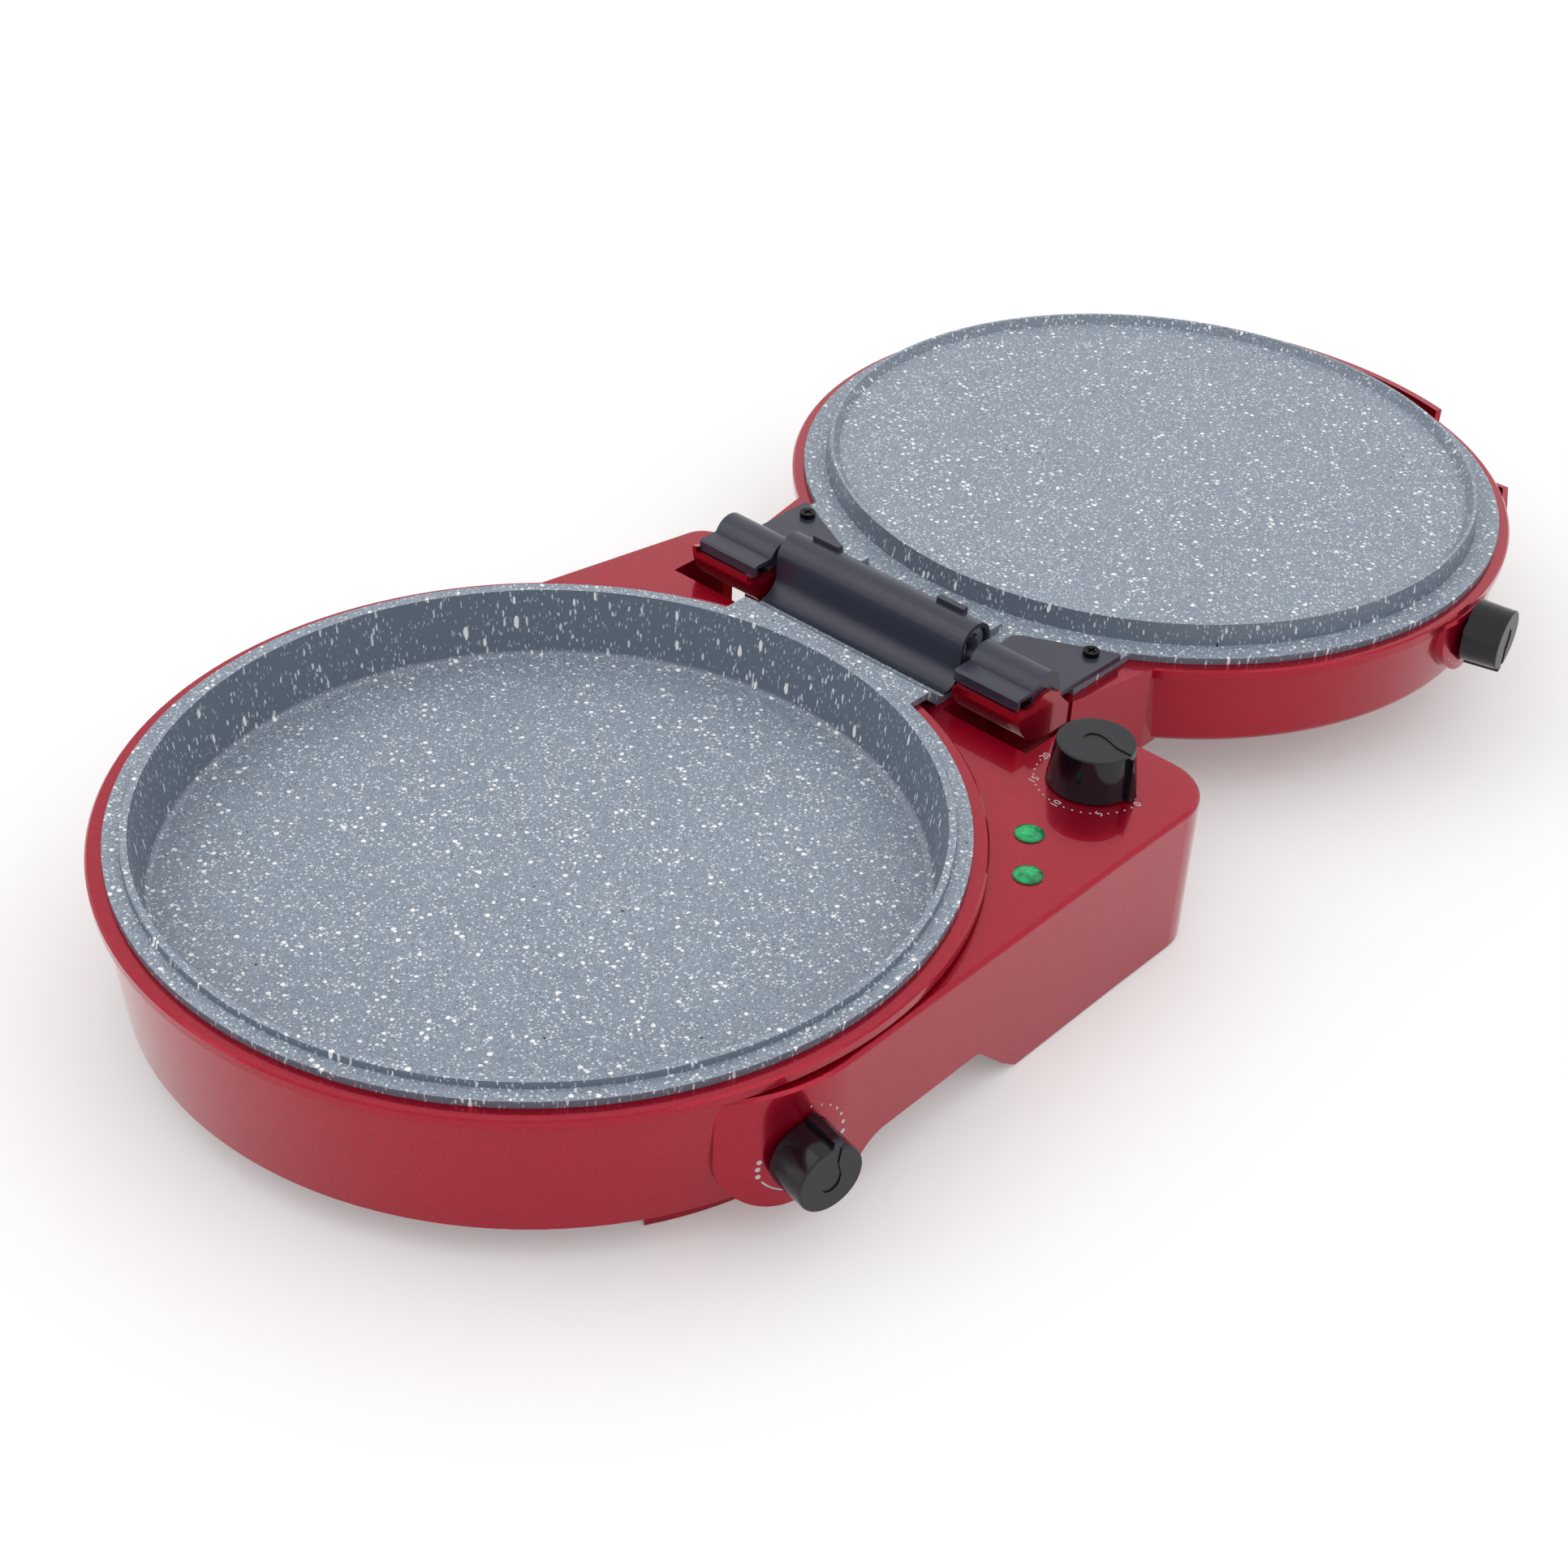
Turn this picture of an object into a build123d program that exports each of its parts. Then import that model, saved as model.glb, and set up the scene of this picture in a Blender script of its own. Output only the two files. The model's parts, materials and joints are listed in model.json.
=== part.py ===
from build123d import *
from math import atan, cos, degrees, hypot, radians, sin, sqrt
import os

os.makedirs("parts", exist_ok=True)

# Electric pizza maker with its lid lying open behind the base.
# Millimetres, +Z up, the table at z = 0, the user at -Y. The origin lies on the table under the
# middle of the opened appliance. Places in plan are given from the centre of the lower pan.

# Place of the lower pan
pan_x = -11.0  # centre line of base and lid
pan_y = -202.2
base_flange_z = 78.0  # top of the lower pan's flange
lid_flange_z = 75.0  # top of the upper plate's flange, lid open

# Lower pan: the well takes a 30 cm pizza
well_floor_r = 152.0
well_draft = 3.5  # wider at its rim
well_floor_z = 50.0  # cooking surface
well_fillet = 3.0
cast_t = 3.0  # thickness of both castings
floor_extra = 1.0  # the well's floor is thicker
under_bevel = 3.0  # bevel under the edge of the well's floor
under_out = 1.5
well_taper = 0.2  # the well's wall is thinner at its rim
lip_w = 3.2  # raised lip round the well
lip_h = 2.6
lip_draft = 0.4
flange_w = 6.3  # flat flange outside the lip
tongue_w = 104.0  # rear tongue under the centre cover
tongue_flat = 4.0  # level run behind the flange
tongue_slope = 9.0  # length of its step down to the deck
tongue_clear = 0.5  # beside it in the collar
lug_r = 7.2  # hinge lugs of the lower pan
lug_w = 14.0

# Upper plate
ring_clear = 0.8  # raised ring inside the well's rim
ring_h = 9.6
ring_draft = 1.6
ring_rim_w = 1.6
disc_slope = 3.0  # from the rim down to the cooking surface
disc_drop = 4.0
disc_under_in = 1.5  # bevels under the disc and the ring
ring_under_in = 0.5
plate_tail_y = 20.0  # front edge of the rear extension, behind the hinge pin

# Hinge
pin_back = 33.0  # hinge pin behind the flange
closed_gap = 0.4  # ring above the lip when closed
pin_r = 4.0
pin_clear = 0.1
pin_float = 6.0
pin_end = 1.0  # pin beyond each clip
clip_r = 6.0
clip_t = 1.2
clip_gap = 0.3
lid_lug_r = 7.4
lid_lug_w = 26.0
lug_gap = 0.5  # lid lug beside the ear's wall
lug_nose = 1.0  # foot of the lid's lugs, before and behind the pin
lug_neck = 2.0
lug_foot = 4.0

# Base housing
wall = 2.5
collar_rim = 6.5  # collar outside the flange
collar_h = 5.0
collar_out = 3.2  # collar proud of the drum
edge_w = 0.8  # small bevels of both collars
flange_seat = 4.0  # flange resting on the collar
drum_draft = 4.8
drum_foot_z = 17.0
deck_drop = 6.5  # wings below the collar's top
wing_in = 0.5  # side of the right wing inside the collar's line
wing_straight = 50.0  # straight side of the right wing, before the pin
wing_back = 15.0  # rear walls behind the pin
wing_corner_r = 25.0
wing_root = 12.0  # wings reach this far inside the drum's foot
wing_root_angle = 35.0
left_wing_w = 18.0
left_wing_angle = 147.4  # where the left wing leaves the drum
left_wing_sink = 1.4
wing_left_corner_r = 12.0
cut_side = 3.4  # hinge cut-outs of the deck, beside the tongue
cut_clear = 3.0  # before the turning ears
cut_out = 8.0  # outside the ears
block_front_y = 100.0  # deck between the wings
block_back = 10.0
block_side = 5.0
deck_edge_r = 2.0
skirt_z = 1.0  # lower edge of the foot skirts
floor_hole_rim = 11.0
floor_t = 2.5
side_edge_z = 23.0  # lower edge of the right side wall, between the boss and the rear foot
rise_run = 9.3  # its rise behind the boss, seen from the side
rise_high_y = -1.0
rise_low_r = 8.0
rise_high_r = 18.0
ramp_high_y = 60.5
ramp_high_r = 6.0
ramp_start_y = 66.0  # floor of the base ends here under the wall
ramp_knee = (77.0, 7.5)
ramp_knee_r = 4.0
ramp_end_y = 86.0
rebate_w = 9.0  # rebate under the side wall's edge
rebate_front_y = -8.0
rebate_rear_y = 67.0

# Feet
pad_r = 8.0
pad_inset = 1.2
pad_inset_angle = 0.5
foot_inset = 12.5  # front feet inside the drum's foot
foot_w = 10.0
foot_angle = 16.0  # length of each front foot, in degrees
foot_mid_angle = -22.0
rear_foot_r = 10.0
rear_foot_in = (15.5, 16.0)  # right rear foot inside the wing's side and rear
left_foot_in = (9.0, 13.0)

# Covers
bottom_cover_gap = 2.0  # inside the front feet
bottom_cover_t = 2.2
vent_r = 70.0
vent_len = 44.0
vent_w = 5.0
cover_t = 2.0  # centre hinge cover
centre_cover_r = 9.5
sweep_r = 9.0  # hollow sweep of its front
cover_toe = 1.0
tab_x = 34.9
tab_w = 14.5
tab_t = 3.0
tab_h = 4.1
tab_back = 4.0
tab_sink = 0.1
side_cover_r = 9.4
side_cover_in = 0.8  # beyond the ear's inner side
side_cover_out = 0.4  # inside the ear's outer wall
side_cover_cap = 1.2  # closed outer end
side_cap_drop = 5.0  # it reaches this far under the pin's middle
side_cover_front = 18.7  # front lip before the pin
side_cover_t = 1.8
side_cover_foot = 18.0  # foot of the bump behind the pin
side_cover_flare = 2.0
side_lip_gap = 0.4  # front lip over the ear's edge
side_lip_z = (2.2, 3.0, 4.0)  # under, corner and top of its sill
ear_gap = 0.2  # ear inside the cover's bump
tray_t = 2.6
tray_front = 11.0  # tray behind the pin
tray_rear = 53.0
tray_front_in = (6.9, 8.0)  # inner corners, from the cut-out's side and the tray's own ends
tray_rear_in = (7.4, 22.0)
tray_step_in = (4.4, 19.0)
tray_corner = 1.0
tray_lap = 0.5  # past the plate's side

# Lid housing
lid_collar_rim = 5.5
lid_collar_h = 5.5
lid_collar_out = 1.3
lid_drum_draft = 4.2
lid_foot_z = 31.0
lid_edge_r = 5.0
lid_hollow_bevel = (2.0, 3.0)
neck_front = 16.0  # behind the hinge pin
neck_side = 1.0  # outside the ears
neck_flare = 8.6
neck_rear = 137.5  # before the lid's centre
neck_root = 100.0
ear_r = 21.0
ear_side = 1.6  # inside the cut-out
ear_wall = 2.0
ear_end_gap = 2.0  # beyond the pin's end
ear_front_z = 80.9
ear_inner_z = 79.1
ear_lap = 0.5  # ear into the neck's front
ear_hole_clear = 0.4  # round the pin
ear_front_rise = 2.8  # outer wall's front corner over ear_front_z
ear_wave = [(-12.7, 0.0), (-7.0, 1.8), (-4.0, 3.6), (0.4, 3.4), (5.0, 0.7), (9.4, -4.1)]  # its upper edge
ear_wave_end = 14.0

# Lid handle
grip_out = 10.8  # proud of the lid's drum
grip_t = 3.5
grip_half_angle = 20.0
grip_z0 = 61.0
grip_z1 = 71.5
grip_web = 2.6

# Side cheek of the lid
cheek_angle = 28.0
cheek_len = 53.0
cheek_in = (22.0, 30.0)  # depth of its far and near ends, inside the drum
cheek_z0 = 45.0
cheek_z1 = 68.5

# Control knobs: angles from +X towards +Y
knob_r = 14.2
knob_draft_w = 0.5
knob_len = 16.5
knob_seat = 0.8
knob_edge_r = 0.7
nose_w = 4.6  # pointer nose along the knob's side
nose_out = 2.4
recess_depth = 0.5  # paddle in the knob's face, level with the nose
recess_r = 4.2
recess_back = 1.2  # its round end lies behind the knob's middle
recess_neck = 3.4
shaft_r = 3.0
shaft_clear = 0.08
shaft_depth = 14.0  # inside its control
shaft_cap = 5.8  # knob over the shaft's end
bore_cap = 5.0
lower_knob_out = 1.7  # seat of the knob outside the drum
lower_knob_y = -38.0
lower_knob_drop = 30.0  # under the deck
lower_knob_angle = -11.0
lower_pointer = 80.0
lower_boss_r = 26.6
lower_boss_at = (-4.0, 3.0)  # middle of the boss from the knob, forwards and up
upper_knob_out = 3.7
upper_knob_y = 9.5
upper_knob_drop = 11.0  # under the plate's seat
upper_knob_angle = 10.0
upper_pointer = -90.0
upper_boss_r = 20.0
upper_boss_drop = 2.0
boss_bulge_r = 70.0
boss_bulge_up = 6.0
boss_wall = 3.0
boss_edge = 1.2
boss_depth = 15.0
boss_pocket = 36.0
boss_out = 10.0
thermostat_w = 26.0
thermostat_h = 16.0
thermostat_d = 18.0
thermostat_up = 1.0  # its body over the bushing
bushing_r = 5.0
bushing_len = 6.0

# Timer and lamps on the right wing
timer_side = 29.6  # outside the hinge cut-out
timer_in = 34.6  # inside the wing's rear
timer_knob_r = 18.4
timer_knob_draft = 2.4
timer_knob_h = 18.6
timer_w = 40.0
timer_h = 30.0
lamp_in = [(36.3, 81.5), (20.4, 102.8)]  # inside the wing's side and rear
lens_r = 6.1
lens_stem_r = 5.0
lens_h = 1.6
lens_stem = 8.0
lens_edge_r = 0.96
neon_r = 3.4
neon_len = 16.0

# Heating elements, heat shields and their screws
element_r = 105.0
tube_r = 3.3
terminal_r = 4.0
seat_gap = 0.2
element_gap_angle = 24.0
terminal_drop = 14.0
terminal_hole_clear = 1.5
shield_in = 13.0  # inside the well's floor
shield_t = 0.8
lower_shield_drop = 13.0  # under the pan
upper_shield_drop = 16.6
shield_rim_h = 9.0
shield_flare = 2.0
stud_r = 5.0
stud_pcd_r = 62.0
screw_r = 1.75
screw_head_r = 3.6
screw_head_h = 2.2
screw_len = 9.0
screw_clear = 0.08
screw_spare = 0.5  # blind hole past the screw's end
cross_len = 4.4
cross_w = 1.0
cross_depth = 1.2
boss_r = 5.0
tail_boss_h = 14.0
tail_screw_len = 10.0
tail_hole_len = 12.0
tail_screw_x = 81.0
tail_screw_back = 43.5  # behind the pin
rib_x = 35.5  # short ribs of the upper plate beside the centre cover
rib_w = 5.0
rib_y = 25.0  # behind the pin
rib_len = 9.0
rib_h = 4.0

# Terminal block and cord gland
terminal_size = (24.0, 14.0, 16.0)
terminal_in = (10.0, 43.0)  # inside the left wing's side, before the pin
terminal_screw_r = 1.8
terminal_screw_depth = 6.0
gland_out = 22.0  # outside the hinge cut-out
gland_z = 33.0
gland_r = 8.0
gland_bore_r = 3.4
gland_len = 12.0
gland_tail = 3.0
gland_flange_r = 11.0
gland_flange_t = 2.5

over = 1.0  # a cut reaches this far past what it cuts
far = 30.0  # past an ear on every side

# Radii that follow from the well
well_r = well_floor_r + well_draft
lip_r = well_r + lip_w
flange_r = lip_r + flange_w
ring_r_foot = well_r - ring_clear
ring_r_top = ring_r_foot - ring_draft
disc_r = ring_r_top - ring_rim_w - disc_slope
collar_r = flange_r + collar_rim
collar_hole_r = flange_r - flange_seat
drum_r_top = collar_r - collar_out
drum_r_foot = drum_r_top - drum_draft
lid_collar_r = flange_r + lid_collar_rim
lid_drum_r_top = lid_collar_r - lid_collar_out
lid_drum_r_foot = lid_drum_r_top - lid_drum_draft
grip_r = lid_drum_r_top + grip_out
foot_r_out = drum_r_foot - foot_inset
foot_r_in = foot_r_out - foot_w
bottom_cover_r = foot_r_in - bottom_cover_gap
floor_hole_r = bottom_cover_r - floor_hole_rim
cover_screw_r = (bottom_cover_r + floor_hole_r) / 2
shield_r = well_floor_r - shield_in

# Places along the appliance
pin_y = flange_r + pin_back  # from pan centre to hinge pin
plate_spacing = 2 * pin_y
hinge_y = pan_y + pin_y
lid_y = pan_y + plate_spacing
tongue_drop_y = flange_r + tongue_flat
tongue_low_y = tongue_drop_y + tongue_slope
cut_front_y = pin_y - ear_r - cut_clear
block_rear_y = pin_y + block_back
wing_rear_y = pin_y + wing_back
tail_y = pin_y + plate_tail_y
tail_screw = (tail_screw_x, pin_y + tail_screw_back)
tail_screws = [(-tail_screw[0], tail_screw[1]), tail_screw]
rib_at = (rib_x + rib_w / 2, pin_y + rib_y + rib_len / 2)

# Places across the hinge
lug_x = tongue_w / 2 - cover_t - lug_w / 2
cut_x0 = tongue_w / 2 + cut_side
ear_x0 = cut_x0 + ear_side
lid_lug_x0 = ear_x0 + ear_wall + lug_gap
lid_lug_x1 = lid_lug_x0 + lid_lug_w
pin_half = lid_lug_x1 + clip_gap + clip_t + pin_end
ear_x1 = pin_half + ear_end_gap + ear_wall
cut_x1 = ear_x1 + cut_out
side_cover_x0 = ear_x0 - side_cover_in
side_cover_x1 = ear_x1 - ear_wall - side_cover_out
plate_tail_x = ear_x1 - ear_wall
neck_x_front = ear_x1 + neck_side
neck_x_rear = neck_x_front + neck_flare
wing_x = collar_r - wing_in
wing_rim_x = wing_x - wall
wing_left_x = cut_x1 + left_wing_w
gland_x = cut_x1 + gland_out

# Heights
pin_z = (base_flange_z + lip_h + closed_gap + ring_h + lid_flange_z) / 2
top_z = pin_z + pin_float
collar_z = base_flange_z - cast_t
deck_z = collar_z - deck_drop
lid_seat_z = lid_flange_z - cast_t
lip_z = base_flange_z + lip_h
well_under_z = well_floor_z - cast_t - floor_extra
rim_z = lid_flange_z + ring_h
disc_z = rim_z - disc_drop
disc_under_z = disc_z - cast_t
tongue_z = deck_z + cast_t
floor_top_z = drum_foot_z + floor_t
cover_z = drum_foot_z - bottom_cover_t
lower_shield_z = well_under_z - lower_shield_drop
upper_shield_z = disc_under_z - upper_shield_drop

# Places of controls, lamps and feet
slot_r = pin_r + pin_clear
lower_knob = (drum_r_top + lower_knob_out, lower_knob_y, deck_z - lower_knob_drop)
upper_knob = (lid_drum_r_top + upper_knob_out, upper_knob_y, lid_seat_z - upper_knob_drop)
timer_xy = (cut_x1 + timer_side, wing_rear_y - timer_in)
lamp_xy = [(wing_x - x, wing_rear_y - y) for x, y in lamp_in]
rear_foot_right = (wing_x - rear_foot_in[0], wing_rear_y - rear_foot_in[1])
rear_foot_left = (-wing_left_x + left_foot_in[0], wing_rear_y - left_foot_in[1])
boss_low_z = lower_knob[2] + lower_boss_at[1] - lower_boss_r
rise_low = (rise_high_y - rise_run, boss_low_z)
rise_high = (rise_high_y, side_edge_z)
ramp_high = (ramp_high_y, side_edge_z)
terminal_xy = (-wing_left_x + terminal_in[0], pin_y - terminal_in[1])

base_plane = Plane((pan_x, pan_y, 0))
lid_plane = Plane((pan_x, lid_y, 0))
base_axis = Axis((pan_x, pan_y, 0), (0, 0, 1))
lid_axis = Axis((pan_x, lid_y, 0), (0, 0, 1))
base_half = Plane(origin=(pan_x, pan_y, 0), x_dir=(1, 0, 0), z_dir=(0, -1, 0))
lid_half = Plane(origin=(pan_x, lid_y, 0), x_dir=(1, 0, 0), z_dir=(0, -1, 0))


# Upright plane facing +X, measured back from the pan centre and up from the table
def side_plane(x):
    return Plane(origin=(pan_x + x, pan_y, 0), x_dir=(0, 1, 0), z_dir=(1, 0, 0))


# Upright plane facing +X, measured from the hinge pin at its lower stop
def pin_plane(x):
    return Plane(origin=(pan_x + x, hinge_y, pin_z), x_dir=(0, 1, 0), z_dir=(1, 0, 0))


# Level plane moved in plan
def moved_plane(plane, x, y):
    return Plane(plane.origin + Vector(x, y, 0))


# Point in plan at a radius and an angle from +X
def polar(radius, angle):
    return (radius * cos(radians(angle)), radius * sin(radians(angle)))


# Plane across a control knob, facing outwards, with its height along local Y
def knob_plane(place, centre_y, angle):
    a = radians(angle)
    return Plane(origin=(pan_x + place[0], centre_y + place[1], place[2]),
                 x_dir=(-sin(a), cos(a), 0), z_dir=(cos(a), sin(a), 0))


lower_knob_plane = knob_plane(lower_knob, pan_y, lower_knob_angle)
upper_knob_plane = knob_plane(upper_knob, lid_y, upper_knob_angle)


# Solid of revolution from half sections of straight runs, given as (radius, height)
def turned(plane, axis, points, arc=360):
    with BuildPart() as body:
        with BuildSketch(plane):
            with BuildLine():
                Polyline(*points, close=True)
            make_face()
        revolve(axis=axis, revolution_arc=arc)
    return body.part


# Upright prism of a plan outline, the outline taken in by inset
def prism(plane, z0, z1, points, inset=0.0):
    with BuildPart() as body:
        with BuildSketch(plane.offset(z0)):
            with BuildLine():
                Polyline(*points, close=True)
            make_face()
            if inset > 0:
                offset(amount=-inset, kind=Kind.INTERSECTION, mode=Mode.REPLACE)
        extrude(amount=z1 - z0)
    return body.part


# Plain cylinder standing on a plane
def peg(plane, radius, length):
    with BuildPart() as body:
        with BuildSketch(plane):
            Circle(radius)
        extrude(amount=length)
    return body.part


# U shaped boss behind a knob, bulging outwards: straight sides up to a height, a round lower end,
# cut level at the bottom. The far lower corner is square where the boss runs on into a side wall.
def knob_boss(plane, centre, half, bottom, top, depth, skin, square):
    inner = half - skin
    u, v = centre
    with BuildPart() as body:
        with BuildSketch(plane.offset(-depth)):
            with Locations(centre):
                Circle(inner)
            with BuildLine():
                Polyline((u - inner, v), (u + inner, v), (u + inner, top), (u - inner, top), close=True)
            make_face()
            if square:
                with Locations((u + inner / 2, v - inner / 2)):
                    Rectangle(inner, inner)
            with Locations((u, top + 2 * half), (u, bottom - 2 * half)):
                Rectangle(4 * half, 4 * half, mode=Mode.SUBTRACT)
        extrude(amount=depth + boss_out)
        bulge = Plane(origin=plane.origin + plane.x_dir * boss_bulge_up - plane.z_dir * (boss_bulge_r + skin),
                      x_dir=plane.x_dir, z_dir=(0, 0, 1))
        with BuildSketch(bulge.offset(-2 * half)):
            Circle(boss_bulge_r)
        extrude(amount=4 * half, mode=Mode.INTERSECT)
        if skin == 0:
            rim = body.faces().sort_by(Axis.Z)[-1].edges()
            chamfer(rim.filter_by(GeomType.CIRCLE), boss_edge)
    return body.part


# The right side wall starts where the boss bulges out furthest
bulge_y = (lower_knob_y + boss_bulge_up * cos(radians(lower_knob_angle))
           - boss_bulge_r * sin(radians(lower_knob_angle)))
bulge_x = (lower_knob[0] - boss_bulge_up * sin(radians(lower_knob_angle))
           - boss_bulge_r * cos(radians(lower_knob_angle)) + boss_bulge_r)
wing_root_r = drum_r_foot - wing_root
wing_root_y = sqrt(wing_root_r**2 - cut_x1**2)
right_wing = [(wing_root_r, bulge_y), (bulge_x, bulge_y), (wing_x, pin_y - wing_straight),
              (wing_x, wing_rear_y), (cut_x1, wing_rear_y), (cut_x1, wing_root_y),
              polar(wing_root_r, wing_root_angle)]
left_wing = [(-cut_x1, wing_root_y), (-cut_x1, wing_rear_y), (-wing_left_x, wing_rear_y),
             polar(drum_r_top - left_wing_sink, left_wing_angle)]
block_x = cut_x1 + block_side
middle = [(-block_x, block_front_y), (block_x, block_front_y), (block_x, cut_front_y), (cut_x0, cut_front_y),
          (cut_x0, block_rear_y), (-cut_x0, block_rear_y), (-cut_x0, cut_front_y), (-block_x, cut_front_y)]


# One wing as an upright prism with a rounded rear corner
def wing(points, corner, corner_r, z0, z1, inset=0.0):
    with BuildPart() as body:
        with BuildSketch(base_plane.offset(z0)) as plan:
            with BuildLine():
                Polyline(*points, close=True)
            make_face()
            near = plan.vertices().sort_by(lambda v: abs(v.X - corner[0]) + abs(v.Y - corner[1]))[0]
            fillet(near, corner_r)
            if inset > 0:
                offset(amount=-inset, kind=Kind.INTERSECTION, mode=Mode.REPLACE)
        extrude(amount=z1 - z0)
        if inset == 0:
            rim = body.faces().sort_by(Axis.Z)[-1].edges()
            fillet(rim.filter_by(lambda e: is_outer(e @ 0.5)), deck_edge_r)
    return body.part


# An edge of the deck that lies on the outside of its wing
def is_outer(point):
    x = abs(point.X - pan_x)
    return x > cut_x1 + 1 and hypot(x, point.Y - pan_y) > drum_r_top


wings = [(right_wing, (wing_x, wing_rear_y), wing_corner_r),
         (left_wing, (-wing_left_x, wing_rear_y), wing_left_corner_r)]


# Hole for the bushing of a control, through the wall behind its knob
def bushing_hole(plane):
    return peg(plane.offset(-2 * bushing_len), bushing_r + shaft_clear, 4 * bushing_len)


# Ring sector between two radii, centred on an angle
def sector(plane, z0, z1, r_in, r_out, mid, spread):
    with BuildPart() as body:
        with BuildSketch(plane.offset(z0)):
            with BuildLine():
                low = CenterArc((0, 0), r_in, mid - spread / 2, spread)
                high = CenterArc((0, 0), r_out, mid - spread / 2, spread)
                Line(low @ 0, high @ 0)
                Line(low @ 1, high @ 1)
            make_face()
        extrude(amount=z1 - z0)
    return body.part


# Base housing
with BuildPart() as base_housing:
    with BuildSketch(base_half):
        with BuildLine():
            Polyline((0, drum_foot_z), (drum_r_foot, drum_foot_z), (drum_r_top, deck_z),
                     (collar_r - edge_w, collar_z - collar_h), (collar_r, collar_z - collar_h + edge_w),
                     (collar_r, collar_z - edge_w), (collar_r - edge_w, collar_z), (0, collar_z), close=True)
        make_face()
    revolve(axis=base_axis)
    for outline, corner, corner_r in wings:
        add(wing(outline, corner, corner_r, skirt_z, deck_z))
    add(prism(base_plane, drum_foot_z, deck_z, middle))
    # thermostat boss
    add(knob_boss(lower_knob_plane, lower_boss_at, lower_boss_r, lower_boss_at[1] - lower_boss_r,
                  lower_knob_drop, boss_depth, 0.0, True))
    # hollow of the drum and the wings
    add(turned(base_half, base_axis, [
        (0, floor_top_z), (drum_r_foot - wall, floor_top_z),
        (drum_r_top - wall, deck_z - wall), (collar_r - wall, collar_z - collar_h + edge_w),
        (collar_r - wall, collar_z - wall), (collar_hole_r, collar_z - wall),
        (collar_hole_r, collar_z + over), (0, collar_z + over)]), mode=Mode.SUBTRACT)
    for outline, corner, corner_r in wings:
        add(wing(outline, corner, corner_r, floor_top_z, deck_z - wall, wall), mode=Mode.SUBTRACT)
    add(prism(base_plane, floor_top_z, deck_z - wall, middle, wall), mode=Mode.SUBTRACT)
    add(knob_boss(lower_knob_plane, lower_boss_at, lower_boss_r, floor_top_z - lower_knob[2],
                  lower_knob_drop - wall, boss_pocket, boss_wall, True), mode=Mode.SUBTRACT)
    # thick lower edge of the right side wall, for the rebate under it
    with BuildSketch(side_plane(wing_rim_x - rebate_w - wall)):
        with BuildLine():
            Polyline((rebate_front_y - wall, drum_foot_z), (rebate_rear_y + wall, drum_foot_z),
                     (rebate_rear_y + wall, side_edge_z + wall), (rebate_front_y - wall, side_edge_z + wall),
                     close=True)
        make_face()
    extrude(amount=rebate_w + 2 * wall)
    # open underside of the wings and the round opening in the floor
    for outline, corner, corner_r in wings:
        add(wing(outline, corner, corner_r, skirt_z - over, drum_foot_z, wall), mode=Mode.SUBTRACT)
    with BuildSketch(base_plane.offset(drum_foot_z - over)):
        Circle(floor_hole_r)
    extrude(amount=floor_t + 2 * over, mode=Mode.SUBTRACT)
    # under the side wall, from the boss back to the rear foot
    with BuildSketch(side_plane(cut_x1 / 2)):
        with BuildLine():
            Polyline((bulge_y - over, skirt_z - over), (bulge_y - over, drum_foot_z),
                     (ramp_start_y, drum_foot_z), ramp_knee, (ramp_end_y, skirt_z),
                     (ramp_end_y, skirt_z - over), close=True)
        make_face()
    extrude(amount=wing_rim_x - rebate_w - cut_x1 / 2, mode=Mode.SUBTRACT)
    # lower edge of the side wall: level under the boss, rising behind it, falling to the rear foot
    with BuildSketch(side_plane(wing_rim_x - rebate_w)) as edge_cut:
        with BuildLine():
            Polyline((bulge_y - over, skirt_z - over), (bulge_y - over, boss_low_z), rise_low, rise_high,
                     ramp_high, ramp_knee, (ramp_end_y, skirt_z), (ramp_end_y, skirt_z - over), close=True)
        make_face()
        for knee, radius in ((rise_low, rise_low_r), (rise_high, rise_high_r), (ramp_high, ramp_high_r),
                             (ramp_knee, ramp_knee_r)):
            near = edge_cut.vertices().sort_by(lambda v: abs(v.X - knee[0]) + abs(v.Y - knee[1]))[0]
            fillet(near, radius)
    extrude(amount=3 * rebate_w, mode=Mode.SUBTRACT)
    # collar opening for the pan's tongue
    with BuildSketch(base_plane.offset(deck_z)):
        with Locations((0, (tongue_low_y + well_floor_r) / 2)):
            Rectangle(tongue_w + 2 * tongue_clear, tongue_low_y - well_floor_r)
    extrude(amount=collar_z - deck_z + over, mode=Mode.SUBTRACT)
    # front feet
    for mid in (foot_mid_angle, 180 - foot_mid_angle):
        add(sector(base_plane, skirt_z, drum_foot_z + over, foot_r_in, foot_r_out, mid, foot_angle))
    # rear feet
    with BuildSketch(base_plane.offset(skirt_z)):
        with Locations(rear_foot_right, rear_foot_left):
            Circle(rear_foot_r)
    extrude(amount=drum_foot_z + over - skirt_z)
    # holes for knob shafts, lamps and gland
    add(bushing_hole(lower_knob_plane), mode=Mode.SUBTRACT)
    with BuildSketch(base_plane.offset(deck_z - wall - over)):
        with Locations(timer_xy):
            Circle(bushing_r + shaft_clear)
        with Locations(*lamp_xy):
            Circle(lens_stem_r + shaft_clear)
    extrude(amount=wall + 2 * over, mode=Mode.SUBTRACT)
    with BuildSketch(Plane(origin=(pan_x + gland_x, pan_y + wing_rear_y - wall - over, gland_z),
                           x_dir=(1, 0, 0), z_dir=(0, 1, 0))):
        Circle(gland_r + shaft_clear)
    extrude(amount=wall + 2 * over, mode=Mode.SUBTRACT)
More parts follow.
